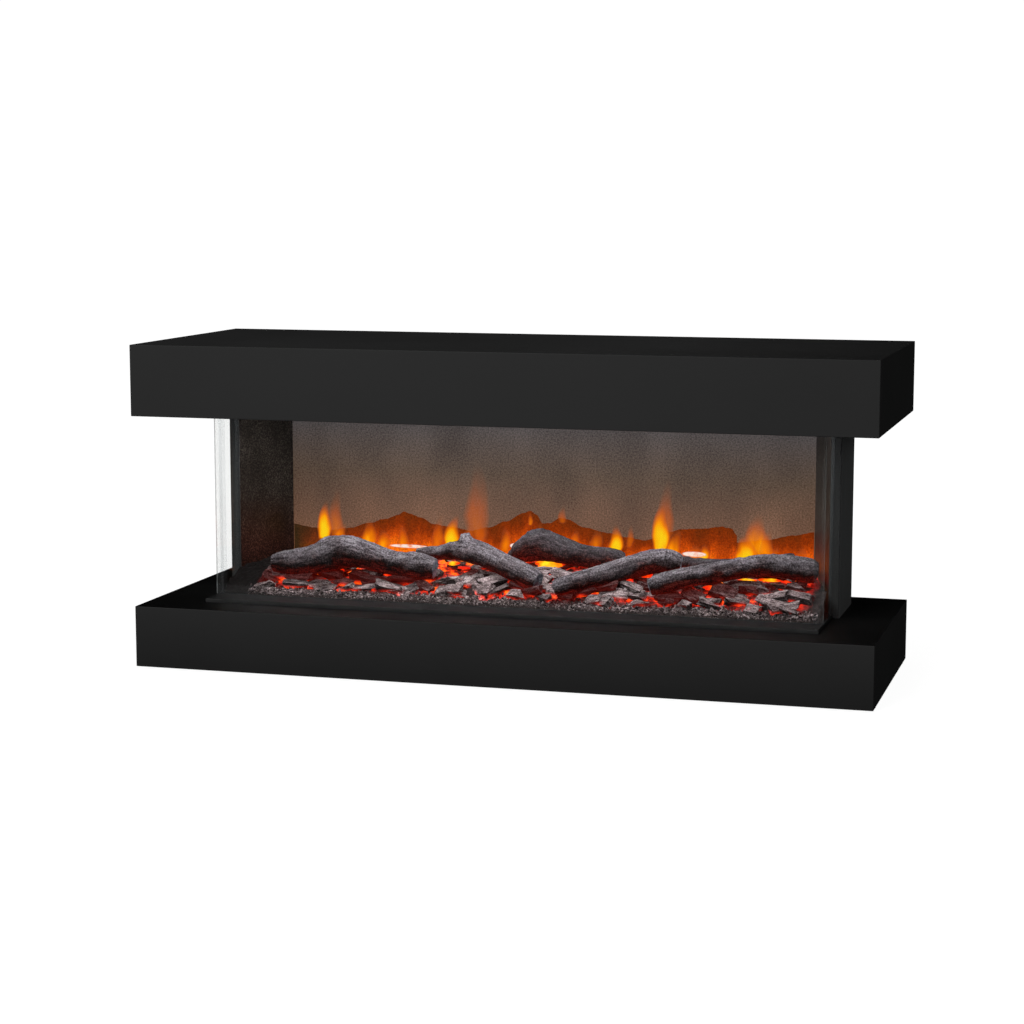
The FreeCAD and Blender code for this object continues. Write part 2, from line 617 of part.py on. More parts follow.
def control_bezel():
    """Plastic plate under the mantel with a collar up through the cut-out, and ears for the rocker."""
    top = MANTEL_BASE
    face = top - BEZEL_OUT

    def centred(half_x, half_y, z0, z1, x=PANEL_X):
        return box(x - half_x, x + half_x, PANEL_Y - half_y, PANEL_Y + half_y, z0, z1)
    corners = [(x, y) for x in (PANEL_X - 60, PANEL_X + 60) for y in (PANEL_Y - 19, PANEL_Y + 19)]
    plate = round_uprights(centred(60, 19, face, top), corners, 4.0)
    collar_height = 16.0
    collar = centred(56, 15, top, top + collar_height).cut(centred(54.5, 13.5, top, top + collar_height))
    ears = centred(4, 9, top, top + 6, ROCKER_X).cut(centred(4, 6.5, top, top + 6, ROCKER_X))
    openings = [centred(10.5, 6.3, face, top, ROCKER_X)]
    openings += [rod_z(BUTTON_HOLE, x, PANEL_Y, face, top) for x in BUTTON_SPOTS.values()]
    openings.append(rod_z(WINDOW_RADIUS, WINDOW_X, PANEL_Y, face, top))
    openings.append(rod_y(ROCKER_PIN + SHAFT_PLAY, ROCKER_X, PANEL_Y - 9, PANEL_Y + 9, ROCKER_Z))
    return joined([plate, collar] + ears.Solids).cut(openings)


def rocker_switch():
    """Mains rocker on two stub pins, resting on its off side."""
    outline = [(-9, -6.5), (0, -5), (9, -6.5), (8, 2), (-8, 2)]
    front = PANEL_Y - 5.8
    face = closed_face([V(ROCKER_X + x, front, ROCKER_Z + z) for x, z in outline])
    pins = rod_y(ROCKER_PIN, ROCKER_X, PANEL_Y - 8.7, PANEL_Y + 8.7, ROCKER_Z)
    rocker = joined([face.extrude(V(0, 11.6, 0)), pins])
    rocker.rotate(V(ROCKER_X, PANEL_Y, ROCKER_Z), V(0, 1, 0), -ROCKER_TILT)
    return rocker


def push_button(name):
    """Round button with a flange behind the bezel and a stem up to its contact."""
    x = BUTTON_SPOTS[name]
    cap = rod_z(BUTTON_RADIUS, x, PANEL_Y, MANTEL_BASE - BEZEL_OUT - 1.2, MANTEL_BASE + 1)
    flange = rod_z(BUTTON_RADIUS + 1.4, x, PANEL_Y, MANTEL_BASE + 0.3, MANTEL_BASE + 1.8)
    stem = rod_z(1.6, x, PANEL_Y, MANTEL_BASE + 1.8, MANTEL_BASE + 5)
    return joined([cap, flange, stem])


def infrared_window():
    """Domed receiver window beside the buttons."""
    pin = rod_z(WINDOW_RADIUS, WINDOW_X, PANEL_Y, MANTEL_BASE - BEZEL_OUT, MANTEL_BASE + 1)
    flange = rod_z(4.5, WINDOW_X, PANEL_Y, MANTEL_BASE, MANTEL_BASE + 1.5)
    dome = Part.makeSphere(3.4, V(WINDOW_X, PANEL_Y, MANTEL_BASE - BEZEL_OUT + 1.6))
    dome = dome.common(rod_z(WINDOW_RADIUS, WINDOW_X, PANEL_Y, MANTEL_BASE - BEZEL_OUT - 4, MANTEL_BASE))
    return joined([pin, flange, dome])


def control_board():
    """Circuit board in the collar, with a contact over each button and parts on its upper side."""
    z0 = MANTEL_BASE + 9
    pieces = [box(PANEL_X - 54, PANEL_X + 54, PANEL_Y - 13, PANEL_Y + 13, z0, z0 + 1.6)]
    pieces += [box(x - 3, x + 3, PANEL_Y - 3, PANEL_Y + 3, z0 - 2.4, z0) for x in BUTTON_SPOTS.values()]
    pieces.append(box(PANEL_X - 50, PANEL_X - 20, PANEL_Y - 10, PANEL_Y + 10, z0 + 1.6, z0 + 16))
    pieces.append(box(PANEL_X - 8, PANEL_X + 6, PANEL_Y - 7, PANEL_Y + 7, z0 + 1.6, z0 + 4))
    pieces += [rod_z(3.0, PANEL_X + x, PANEL_Y + 6, z0 + 1.6, z0 + 12) for x in (18, 28, 38)]
    return joined(pieces)


def power_board():
    """Supply and relays on short posts, behind the heater."""
    x0 = 300.0
    y0 = 40.0
    posts = [rod_z(3.0, x0 + x, y0 + y, MANTEL_FLOOR, MANTEL_FLOOR + 6) for x in (6, 124) for y in (6, 74)]
    board = box(x0, x0 + 130, y0, y0 + 80, MANTEL_FLOOR + 6, MANTEL_FLOOR + 7.6)
    deck = MANTEL_FLOOR + 7.6
    transformer = box(x0 + 12, x0 + 50, y0 + 20, y0 + 52, deck, deck + 30)
    relays = [box(x0 + x, x0 + x + 16, y0 + 50, y0 + 70, deck, deck + 17) for x in (62, 84, 106)]
    capacitors = [rod_z(6.0, x0 + x, y0 + 26, deck, deck + 22) for x in (66, 84)]
    terminals = box(x0 + 98, x0 + 126, y0 + 4, y0 + 18, deck, deck + 12)
    return joined(posts + [board, transformer, terminals] + relays + capacitors)


def cable_gland():
    """Hollow bush through the back panel: nut inside, hexagon and domed cap outside."""
    inner_face = BACK_FACE - BACK_BOARD
    hexagon = [(11 * math.cos(math.radians(a)), 11 * math.sin(math.radians(a))) for a in range(0, 360, 60)]

    def nut(y, thickness):
        outline = closed_face([V(GLAND_X + x, y, GLAND_Z + z) for x, z in hexagon])
        return outline.extrude(V(0, thickness, 0))
    barrel = rod_y(8.0, GLAND_X, inner_face - 8, BACK_FACE, GLAND_Z)
    cap = rod_y(8.5, GLAND_X, BACK_FACE + 4, BACK_FACE + 9, GLAND_Z)
    body = joined([barrel, nut(inner_face - 5, 5), nut(BACK_FACE, 4), cap])
    return body.cut(rod_y(GLAND_BORE, GLAND_X, inner_face - 8, BACK_FACE + 9, GLAND_Z))


# ---- Writing the pieces ----
def all_pieces():
    """Every node's name and its solid, or list of solids."""
    sides = ("top", "front", "left", "right")
    pieces = {f"mantel_{side}_board": mantel_board(side) for side in sides}
    pieces.update({f"plinth_{side}_board": plinth_board(side) for side in sides})
    pieces.update({name: log(name) for name in LOGS})
    pieces.update({name: push_button(name) for name in BUTTON_SPOTS})
    for name, right in (("glass", right_glass()), ("column", right_column()), ("liner", right_liner())):
        pieces[f"right_{name}"] = right
        pieces[f"left_{name}"] = mirrored(right)
    builders = [mantel_bottom_board, mantel_back_panel, warm_air_grille, corner_blocks, plinth_back_rail,
                plinth_glides, hanger_rail, wall_rail, glass_tray, front_glass, glass_seals,
                firebox_top_panel, log_light_strip, flame_screen, ember_bed, ember_chips,
                ember_led_strips, flame_mask, flame_led_board, flame_spindle, spindle_bearings,
                spindle_motor, rear_reflector, rear_back_panel, casing_screws, heater_housing,
                fan_impeller, fan_bearing, fan_motor, heating_element, thermal_cutout, control_bezel,
                rocker_switch, infrared_window, control_board, power_board, cable_gland]
    pieces.update({builder.__name__: builder() for builder in builders})
    return pieces


os.makedirs("parts", exist_ok=True)
for node, shape in all_pieces().items():
    solid_list = shape if isinstance(shape, list) else shape.Solids
    whole = Part.makeCompound(solid_list) if len(solid_list) > 1 else solid_list[0]
    whole.exportStep(f"parts/{node}.step")
    print(f"{node}: {len(solid_list)} solid(s), {whole.Volume / 1000:.1f} cm3, valid {whole.isValid()}")
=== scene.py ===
"""Looks of the electric fireplace suite: its finishes, fuel bed and flames, then the studio and camera."""

import math
import random

import bmesh
import bpy
from mathutils import Euler, Matrix, Vector, noise
from mathutils.bvhtree import BVHTree


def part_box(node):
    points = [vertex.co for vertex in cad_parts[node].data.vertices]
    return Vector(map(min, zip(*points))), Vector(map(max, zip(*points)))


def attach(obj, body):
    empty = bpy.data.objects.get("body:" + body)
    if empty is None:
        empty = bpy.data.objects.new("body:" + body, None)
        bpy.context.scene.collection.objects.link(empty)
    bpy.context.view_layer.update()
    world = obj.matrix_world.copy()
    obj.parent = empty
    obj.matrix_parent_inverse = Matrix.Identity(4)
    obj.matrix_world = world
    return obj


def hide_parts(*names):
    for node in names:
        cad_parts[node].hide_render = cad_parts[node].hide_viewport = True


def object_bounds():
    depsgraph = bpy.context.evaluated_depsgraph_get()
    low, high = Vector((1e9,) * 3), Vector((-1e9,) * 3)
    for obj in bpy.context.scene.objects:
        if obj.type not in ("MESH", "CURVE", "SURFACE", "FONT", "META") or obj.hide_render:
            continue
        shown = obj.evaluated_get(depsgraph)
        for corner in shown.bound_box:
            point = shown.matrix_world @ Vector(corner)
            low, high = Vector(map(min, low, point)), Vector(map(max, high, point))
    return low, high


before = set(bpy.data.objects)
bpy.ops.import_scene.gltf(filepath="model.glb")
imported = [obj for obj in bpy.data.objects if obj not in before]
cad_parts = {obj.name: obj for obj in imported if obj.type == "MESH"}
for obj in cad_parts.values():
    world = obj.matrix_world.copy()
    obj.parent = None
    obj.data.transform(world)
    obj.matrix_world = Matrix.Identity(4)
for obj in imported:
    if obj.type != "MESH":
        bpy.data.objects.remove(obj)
cad_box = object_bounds()
draw = random.Random(7)

BODY = "suite"
# Scale of the fine grain that the screen, liners and logs share.
GRAIN = 360.0
SCREEN_LOW, SCREEN_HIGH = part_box("flame_screen")
BED_LOW, BED_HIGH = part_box("ember_bed")
ROOF_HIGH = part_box("firebox_top_panel")[1]


def tone(red, green, blue):
    """A colour given as 0 to 255 on a screen, as the linear colour that Blender mixes."""
    def linear(level):
        share = level / 255
        return share / 12.92 if share < 0.04045 else ((share + 0.055) / 1.055) ** 2.4
    return (linear(red), linear(green), linear(blue), 1.0)


def faded(color, share):
    """A colour made darker, to share of its light."""
    return tuple(share * level for level in color[:3]) + (1.0,)


# ---- Materials ----
class Paint:
    """One node material, with short ways to add to it. place is the point on the object, in metres."""

    def __init__(self, name):
        self.material = bpy.data.materials.new(name)
        self.material.use_nodes = True
        self.nodes = self.material.node_tree.nodes
        self.nodes.clear()
        self.output = self.add("OutputMaterial")
        self.place = self.add("TexCoord").outputs["Object"]

    def put(self, socket, value):
        if isinstance(value, bpy.types.NodeSocket):
            self.material.node_tree.links.new(value, socket)
        else:
            socket.default_value = value

    def add(self, kind, inputs=None, **settings):
        node = self.nodes.new("ShaderNode" + kind)
        for name, value in settings.items():
            setattr(node, name, value)
        for key, value in (inputs or {}).items():
            self.put(node.inputs[key], value)
        return node

    def stretched(self, factors, place=None):
        inputs = {"Vector": place or self.place, "Scale": factors}
        return self.add("Mapping", inputs).outputs["Vector"]

    def noise(self, scale, detail=2.0, place=None, roughness=0.5):
        inputs = {"Vector": place or self.place, "Scale": scale, "Detail": detail, "Roughness": roughness}
        return self.add("TexNoise", inputs).outputs["Fac"]

    def cells(self, scale, feature):
        inputs = {"Vector": self.place, "Scale": scale}
        return self.add("TexVoronoi", inputs, feature=feature).outputs["Distance"]

    def attribute(self, name, output="Fac"):
        return self.add("Attribute", attribute_name=name).outputs[output]

    def axis(self, name):
        return self.add("SeparateXYZ", {"Vector": self.place}).outputs[name]

    def fit(self, value, low, high, to_low=0.0, to_high=1.0):
        """value taken from low..high to to_low..to_high, and held at the ends."""
        inputs = {"Value": value, "From Min": low, "From Max": high, "To Min": to_low, "To Max": to_high}
        return self.add("MapRange", inputs).outputs["Result"]

    def math(self, operation, first, second=0.0):
        return self.add("Math", {0: first, 1: second}, operation=operation).outputs[0]

    def blend(self, amount, first, second, kind="MIX"):
        node = self.add("Mix", {0: amount, 6: first, 7: second}, data_type="RGBA", blend_type=kind)
        return node.outputs[2]

    def dimmed(self, color, share):
        """color multiplied by a value that changes over the surface."""
        return self.blend(1.0, color, share, "MULTIPLY")

    def ramp(self, value, stops):
        node = self.add("ValToRGB", {"Fac": value})
        elements = node.color_ramp.elements
        while len(elements) < len(stops):
            elements.new(0.5)
        for element, (position, color) in zip(elements, stops):
            element.position = position
            element.color = color
        return node.outputs["Color"]

    def bump(self, height, depth):
        return self.add("Bump", {"Height": height, "Distance": depth, "Strength": 1.0}).outputs["Normal"]

    def principled(self, color, roughness, height=None, depth=0.0, **inputs):
        """Finishes the material with a Principled shader; input names use _ for spaces."""
        sockets = {"Base Color": color, "Roughness": roughness}
        sockets.update({name.replace("_", " "): value for name, value in inputs.items()})
        if height is not None:
            sockets["Normal"] = self.bump(height, depth)
        return self.finish(self.add("BsdfPrincipled", sockets).outputs[0])

    def finish(self, shader):
        self.put(self.output.inputs["Surface"], shader)
        return self.material


def satin_lacquer(name, dark, light, axis=None, full=0.0, faded=0.0):
    """Black lacquer: nearly even, with a faint orange peel and slow changes in its sheen.
    Along axis it darkens from the place full to the place faded, as painted shade."""
    paint = Paint(name)
    cloud = paint.noise(5.0, 3.0)
    peel = paint.noise(650.0, 1.0)
    color = paint.blend(cloud, dark, light)
    if axis:
        # painted shade: the lacquer darkens along axis
        color = paint.dimmed(color, paint.fit(paint.axis(axis), faded, full, 0.55, 1.0))
    sheen = paint.fit(cloud, 0.3, 0.7, 0.5, 0.58)
    return paint.principled(color, sheen, peel, 0.00002, Specular_IOR_Level=0.2)


def grained(name, dark, light, roughness, scale, depth=0.00004, stretch=(1, 1, 1), **inputs):
    """A finish with fine grain in its colour, gloss and height, drawn out along an axis if wanted."""
    paint = Paint(name)
    place = paint.stretched(stretch)
    grain = paint.noise(scale, 3.0, place)
    patch = paint.noise(scale / 25, 2.0, place)
    color = paint.blend(paint.fit(paint.math("ADD", grain, patch), 0.7, 1.3), dark, light)
    gloss = paint.fit(grain, 0.3, 0.7, roughness - 0.06, roughness + 0.06)
    return paint.principled(color, gloss, grain, depth, **inputs)


def liner_steel():
    """Dark speckled sides of the firebox, with a soft sheen and a painted reddish reflection of the fire low
    down.
    """
    paint = Paint("liner_steel")
    speck = paint.noise(GRAIN, 3.0, roughness=0.8)
    cloud = paint.noise(14.0, 3.0)
    # painted reflection of the fire: a reddish tint low down, near the bed
    warm = paint.fit(paint.axis("Z"), BED_LOW.z + 0.03, BED_LOW.z + 0.15, 1.0, 0.0)
    spots = paint.fit(speck, 0.47, 0.62)
    cold_side = paint.blend(spots, tone(0, 0, 0), tone(80, 76, 70))
    fire_reflected_side = paint.blend(spots, tone(1, 0, 0), tone(86, 52, 45))
    color = paint.dimmed(paint.blend(warm, cold_side, fire_reflected_side), paint.fit(cloud, 0.25, 0.7, 0.3, 1.0))
    return paint.principled(color, 0.4, speck, 0.00005, Specular_IOR_Level=0.2)


def column_steel():
    """Powder-coated steel of the columns, painted paler on the faces that point to the sides, as painted
    light.
    """
    paint = Paint("column_steel")
    grain = paint.noise(700.0, 3.0)
    spots = paint.fit(grain, 0.35, 0.65)
    normal = paint.add("NewGeometry").outputs["True Normal"]
    painted_side_light = paint.math("ABSOLUTE", paint.add("SeparateXYZ", {"Vector": normal}).outputs["X"])
    # lit and shaded copies of one steel: faces that point to the sides are painted paler, as painted light
    ahead = paint.blend(spots, tone(26, 27, 27), tone(50, 51, 51))
    beside = paint.blend(spots, tone(50, 51, 51), tone(76, 77, 77))
    color = paint.blend(paint.fit(painted_side_light, 0.6, 0.9), ahead, beside)
    return paint.principled(color, 0.6, grain, 0.00006, Specular_IOR_Level=0.3)


def clear_glass(name, edge_axis, edge_share, gloss_share):
    """Clear pane: see-through, a thin gloss that grows at grazing angles, and paler cut edges.
    Its edges are the faces that point along edge_axis, and edge_share is how solid they look.
    gloss_share is how much of a real pane's mirror it keeps."""
    paint = Paint(name)
    waver = paint.bump(paint.noise(3.0, 1.0), 0.0002)
    gloss = paint.add("BsdfAnisotropic", {"Roughness": 0.03, "Normal": waver}).outputs[0]
    clear = paint.add("BsdfTransparent", {"Color": (0.993, 0.996, 0.994, 1.0)}).outputs[0]
    amount = paint.math("MULTIPLY", paint.add("Fresnel", {"IOR": 1.45}).outputs[0], gloss_share)
    pane = paint.add("MixShader", {0: amount, 1: clear, 2: gloss}).outputs[0]
    cloud = paint.noise(30.0, 2.0)
    ground = paint.add("BsdfDiffuse", {"Color": paint.blend(cloud, tone(150, 158, 158), tone(190, 198, 198))})
    normal = paint.add("NewGeometry").outputs["True Normal"]
    facing = paint.math("ABSOLUTE", paint.add("SeparateXYZ", {"Vector": normal}).outputs[edge_axis])
    edge = paint.fit(facing, 0.5, 0.9, 0.0, edge_share)
    return paint.finish(paint.add("MixShader", {0: edge, 1: pane, 2: ground.outputs[0]}).outputs[0])


def clear_seal():
    """Translucent grey sealing strip, milky and a little uneven along its length."""
    paint = Paint("clear_seal")
    cloud = paint.noise(40.0, 2.0, paint.stretched((1, 1, 0.15)))
    milk = paint.add("BsdfDiffuse", {"Color": paint.blend(cloud, tone(96, 98, 100), tone(126, 128, 130))})
    clear = paint.add("BsdfTransparent", {"Color": (0.972, 0.976, 0.978, 1.0)}).outputs[0]
    amount = paint.fit(cloud, 0.3, 0.7, 0.02, 0.07)
    return paint.finish(paint.add("MixShader", {0: amount, 1: clear, 2: milk.outputs[0]}).outputs[0])


def smoky_screen():
    """Screen lit from behind: cool grey high up, warm brown low down, all of it grainy."""
    paint = Paint("smoky_screen")
    rise = paint.fit(paint.axis("Z"), BED_HIGH.z, SCREEN_HIGH.z)
    smoke = paint.noise(7.0, 4.0, paint.stretched((1.3, 1, 0.8)))
    spots = paint.fit(paint.noise(GRAIN, 3.0, roughness=0.8), 0.35, 0.65)
    glow = paint.ramp(rise, [
        (0.0, tone(140, 88, 56)),
        (0.2, tone(117, 80, 58)),
        (0.55, tone(84, 66, 52)),
        (1.0, tone(61, 66, 73)),
    ])
    glow = paint.dimmed(glow, paint.fit(smoke, 0.3, 0.7, 0.5, 1.05))
    glow = paint.dimmed(glow, paint.fit(spots, 0.0, 1.0, 0.65, 1.35))
    base = paint.blend(spots, tone(6, 6, 6), tone(60, 54, 50))
    return paint.principled(base, 0.45, Specular_IOR_Level=0.15,
                            Emission_Color=glow, Emission_Strength=1.0)


def log_reflection_glow():
    """Dark orange shapes on the screen behind the logs, a painted reflection of the logs, brighter towards
    the fire.
    """
    paint = Paint("log_reflection_glow")
    spots = paint.fit(paint.noise(GRAIN, 3.0, roughness=0.8), 0.35, 0.65)
    patch = paint.noise(24.0, 3.0, paint.stretched((1.6, 1, 0.6)))
    rise = paint.math("ADD", paint.attribute("rise"), paint.fit(patch, 0.3, 0.7, -0.22, 0.22))
    glow = paint.ramp(rise, [
        (0.15, tone(248, 112, 6)),
        (0.4, tone(204, 74, 2)),
        (0.7, tone(138, 46, 0)),
        (1.0, tone(108, 40, 2)),
    ])
    faded = paint.fit(paint.axis("X"), SCREEN_LOW.x + 0.04, SCREEN_LOW.x + 0.17)
    glow = paint.blend(faded, tone(46, 34, 16), glow)
    glow = paint.dimmed(glow, paint.fit(spots, 0.0, 1.0, 0.62, 1.3))
    base = paint.blend(spots, tone(3, 1, 0), tone(44, 14, 2))
    return paint.principled(base, 0.6, Specular_IOR_Level=0.1, Emission_Color=glow, Emission_Strength=1.0)


def flame_light():
    """A soft flame: orange at its edge, yellow at its heart, fading to nothing."""
    paint = Paint("flame_light")
    wisp = paint.noise(60.0, 2.0, paint.stretched((1, 1, 0.35)))
    core = paint.math("MULTIPLY", paint.attribute("core"), paint.fit(wisp, 0.3, 0.7, 0.75, 1.15))
    glow = paint.ramp(core, [
        (0.0, tone(170, 104, 66)),
        (0.2, tone(224, 100, 26)),
        (0.5, tone(252, 136, 8)),
        (0.9, tone(255, 206, 24)),
    ])
    light = paint.add("Emission", {"Color": glow, "Strength": 1.0}).outputs[0]
    clear = paint.add("BsdfTransparent").outputs[0]
    amount = paint.fit(core, 0.0, 0.6)
    return paint.finish(paint.add("MixShader", {0: amount, 1: clear, 2: light}).outputs[0])


def charred_log(name, share):
    """Cast log: speckled ash along its top, darker charred colour lower down that is partly painted shade
    with a red tint of painted ember light, and a painted dull red glow from the bed on its underside.
    share is how pale its ash is; logs further back get less, as painted shade."""
    paint = Paint(name)
    middle = faded(tone(92, 86, 90), share)
    palest = faded(tone(142, 137, 142), share)
    along = paint.attribute("grain", "Vector")
    fibre = paint.noise(170.0, 3.0, paint.stretched((0.22, 1, 1), along), 0.7)
    speck = paint.noise(GRAIN, 3.0, along, 0.85)
    patch = paint.noise(26.0, 3.0, along)
    top = paint.math("ADD", paint.attribute("top"), paint.fit(patch, 0.3, 0.7, -0.4, 0.4))
    spots = paint.fit(paint.math("ADD", speck, paint.math("MULTIPLY", fibre, 0.6)), 0.62, 0.98)
    ash = paint.ramp(spots, [
        (0.0, tone(40, 35, 36)),
        (0.5, middle),
        (1.0, palest),
    ])
    # charred colour lower down: partly real char, partly painted shade, and its red tint is painted light
    # from the ember bed
    char_and_shade = paint.ramp(spots, [(0.0, tone(5, 2, 2)), (0.55, tone(34, 17, 15)), (1.0, tone(86, 42, 35))])
    color = paint.blend(paint.fit(top, -0.2, 0.7), char_and_shade, ash)
    rings = paint.blend(spots, tone(70, 74, 82), tone(134, 140, 150))
    color = paint.blend(paint.attribute("cut"), color, rings)
    # painted glow: red light of the ember bed painted on the log's underside
    under = paint.fit(top, -1.1, -0.1, 1.0, 0.0)
    glow_amount = paint.math("MULTIPLY", under, paint.fit(spots, 0.2, 0.9))
    glow = paint.blend(glow_amount, tone(0, 0, 0), tone(104, 16, 9))
    height = paint.math("ADD", fibre, speck)
    return paint.principled(color, 0.85, height, 0.003, Specular_IOR_Level=0.15,
                            Emission_Color=glow, Emission_Strength=1.0)


def charred_chip():
    """Bark-like chip: speckled grey with a mauve cast, faces turned down darker as painted shade, painted
    shadow with a dim red glow under the logs, and painted fire light where it is bedded.
    """
    paint = Paint("charred_chip")
    along = paint.attribute("grain", "Vector")
    fibre = paint.noise(240.0, 3.0, paint.stretched((0.3, 1, 1), along), 0.7)
    speck = paint.noise(1.2 * GRAIN, 3.0, along, 0.85)
    shade = paint.noise(36.0, 2.0)
    spots = paint.fit(paint.math("ADD", speck, fibre), 0.78, 1.22)
    ash = paint.ramp(spots, [
        (0.0, tone(44, 34, 35)),
        (0.45, tone(104, 90, 90)),
        (1.0, tone(172, 158, 158)),
    ])
    normal = paint.add("NewGeometry").outputs["Normal"]
    facing_for_painted_shade = paint.add("SeparateXYZ", {"Vector": normal}).outputs["Z"]
    color = paint.dimmed(ash, paint.fit(shade, 0.32, 0.6, 0.45, 1.0))
    # painted shade: faces that turn down are darkened
    color = paint.dimmed(color, paint.fit(facing_for_painted_shade, -0.2, 0.65, 0.2, 1.15))
    # painted shadow of the logs on the bed
    color = paint.dimmed(color, paint.fit(paint.attribute("shade"), 0.0, 1.0, 1.0, 0.22))
    # painted light: fire colour on the chip where it is bedded, and dim red under the logs
    bedded = paint.fit(paint.attribute("level"), -0.001, 0.0065, 1.0, 0.0)
    patch = paint.fit(paint.noise(30.0, 2.0), 0.46, 0.6)
    glow_amount = paint.math("MULTIPLY", paint.math("MULTIPLY", bedded, patch), paint.fit(spots, 0.0, 0.6, 0.5, 1.0))
    shaded = paint.math("MULTIPLY", paint.attribute("shade"), paint.fit(spots, 0.1, 0.8, 0.02, 0.1))
    glow_amount = paint.math("MAXIMUM", glow_amount, shaded)
    fire = paint.ramp(glow_amount, [
        (0.0, tone(0, 0, 0)),
        (0.25, tone(120, 20, 10)),
        (0.6, tone(240, 46, 10)),
        (1.0, tone(255, 100, 24)),
    ])
    return paint.principled(color, 0.9, fibre, 0.0016, Specular_IOR_Level=0.1,
                            Emission_Color=fire, Emission_Strength=1.0)


def glowing_bed():
    """Moulded bed between the chips: dark crust, broken by red and orange patches."""
    paint = Paint("glowing_bed")
    crust = paint.noise(160.0, 4.0, roughness=0.7)
    patch = paint.math("ADD", paint.noise(34.0, 3.0), paint.fit(crust, 0.3, 0.7, -0.1, 0.1))
    inside = paint.fit(paint.axis("Y"), BED_LOW.y + 0.012, BED_LOW.y + 0.03)
    past_left = paint.fit(paint.axis("X"), BED_LOW.x + 0.05, BED_LOW.x + 0.12)
    before_right = paint.fit(paint.axis("X"), BED_HIGH.x - 0.05, BED_HIGH.x - 0.015, 1.0, 0.0)
    hot = paint.math("MULTIPLY", paint.fit(patch, 0.45, 0.63), paint.math("MULTIPLY", inside, past_left))
    hot = paint.math("MULTIPLY", hot, before_right)
    fire = paint.ramp(hot, [
        (0.0, tone(0, 0, 0)),
        (0.35, tone(140, 16, 6)),
        (0.75, tone(250, 50, 10)),
        (1.0, tone(255, 120, 18)),
    ])
    color = paint.blend(crust, tone(10, 6, 6), tone(60, 48, 46))
    color = paint.dimmed(color, paint.fit(past_left, 0.0, 1.0, 0.15, 1.0))
    return paint.principled(color, 0.9, crust, 0.002, Emission_Color=fire, Emission_Strength=1.2)


def ember_core():
    """The hottest embers: yellow inside, orange and red towards their ends."""
    paint = Paint("ember_core")
    swirl = paint.noise(90.0, 3.0)
    glow_amount = paint.math("ADD", paint.attribute("core"), paint.fit(swirl, 0.3, 0.7, -0.3, 0.2))
    fire = paint.ramp(glow_amount, [
        (0.0, tone(214, 24, 4)),
        (0.3, tone(255, 66, 4)),
        (0.6, tone(255, 150, 6)),
        (0.95, tone(255, 216, 30)),
    ])
    return paint.principled(tone(20, 4, 1), 0.8, Emission_Color=fire, Emission_Strength=1.3)


def pale_sliver():
    """Light from the flame lamps that shows at the foot of the screen."""
    paint = Paint("pale_sliver")
    swirl = paint.noise(120.0, 3.0)
    glow = paint.ramp(paint.fit(swirl, 0.3, 0.7), [(0.0, tone(250, 150, 110)), (0.6, tone(255, 228, 214))])
    light = paint.add("Emission", {"Color": glow, "Strength": 1.0}).outputs[0]
    clear = paint.add("BsdfTransparent").outputs[0]
    amount = paint.fit(paint.attribute("core"), 0.05, 0.5)
    return paint.finish(paint.add("MixShader", {0: amount, 1: clear, 2: light}).outputs[0])


def lamp_strip(name, foot, top, color):
    """White lamp board whose lamps glow: they reach from the height foot to the height top."""
    paint = Paint(name)
    mask = paint.noise(900.0, 2.0)
    board = paint.blend(mask, tone(186, 188, 184), tone(220, 222, 216))
    lamp = paint.fit(paint.axis("Z"), foot, top)
    glow = paint.dimmed(paint.blend(mask, color, tone(255, 240, 220)), lamp)
    return paint.principled(board, 0.4, mask, 0.00003, Emission_Color=glow, Emission_Strength=1.5)


def circuit_board():
    """Green board with paler tracks."""
    paint = Paint("circuit_board")
    tracks = paint.cells(260.0, "DISTANCE_TO_EDGE")
    color = paint.blend(paint.fit(tracks, 0.03, 0.06), tone(60, 120, 70), tone(16, 64, 36))
    return paint.principled(color, 0.35, tracks, 0.00003)


def infrared_glass():
    """Dark red window over the receiver."""
    paint = Paint("infrared_glass")
    cloud = paint.noise(300.0, 2.0)
    return paint.principled(paint.blend(cloud, tone(24, 4, 6), tone(46, 8, 10)), 0.08, Coat_Weight=0.5)


def dress(material, *nodes):
    """Puts one material on CAD nodes."""
    for name in nodes:
        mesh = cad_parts[name].data
        mesh.materials.clear()
        mesh.materials.append(material)


def dress_cabinet():
    sides = [f"{box}_{side}_board" for box in ("mantel", "plinth") for side in ("front", "left", "right")]
    dress(satin_lacquer("satin_lacquer", tone(35, 35, 35), tone(39, 39, 39)), *sides, "mantel_bottom_board")
    # the plinth front is darker towards the bottom, as painted shade
    low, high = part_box("plinth_front_board")
    front = satin_lacquer("plinth_lacquer_painted_shade", tone(37, 37, 37), tone(40, 40, 40), "Z", high.z, low.z)
    dress(front, "plinth_front_board")
    # the mantel top is the same lacquer painted paler, as painted light, and darker towards its right end, as
    # painted shade
    low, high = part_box("mantel_top_board")
    top = satin_lacquer("top_lacquer_painted_light", tone(48, 48, 48), tone(52, 52, 52), "X", 0.4 * high.x, high.x)
    dress(top, "mantel_top_board")
    dress(satin_lacquer("shaded_lacquer", tone(8, 8, 8), tone(11, 11, 11)), "plinth_top_board")
    board = grained("plain_board", tone(116, 88, 62), tone(150, 120, 88), 0.85, 420.0, 0.0001, (0.3, 1, 1))
    dress(board, "mantel_back_panel", "corner_blocks", "plinth_back_rail")
    nylon = grained("black_nylon", tone(16, 16, 17), tone(30, 30, 31), 0.55, 700.0)
    dress(nylon, "plinth_glides", "cable_gland")


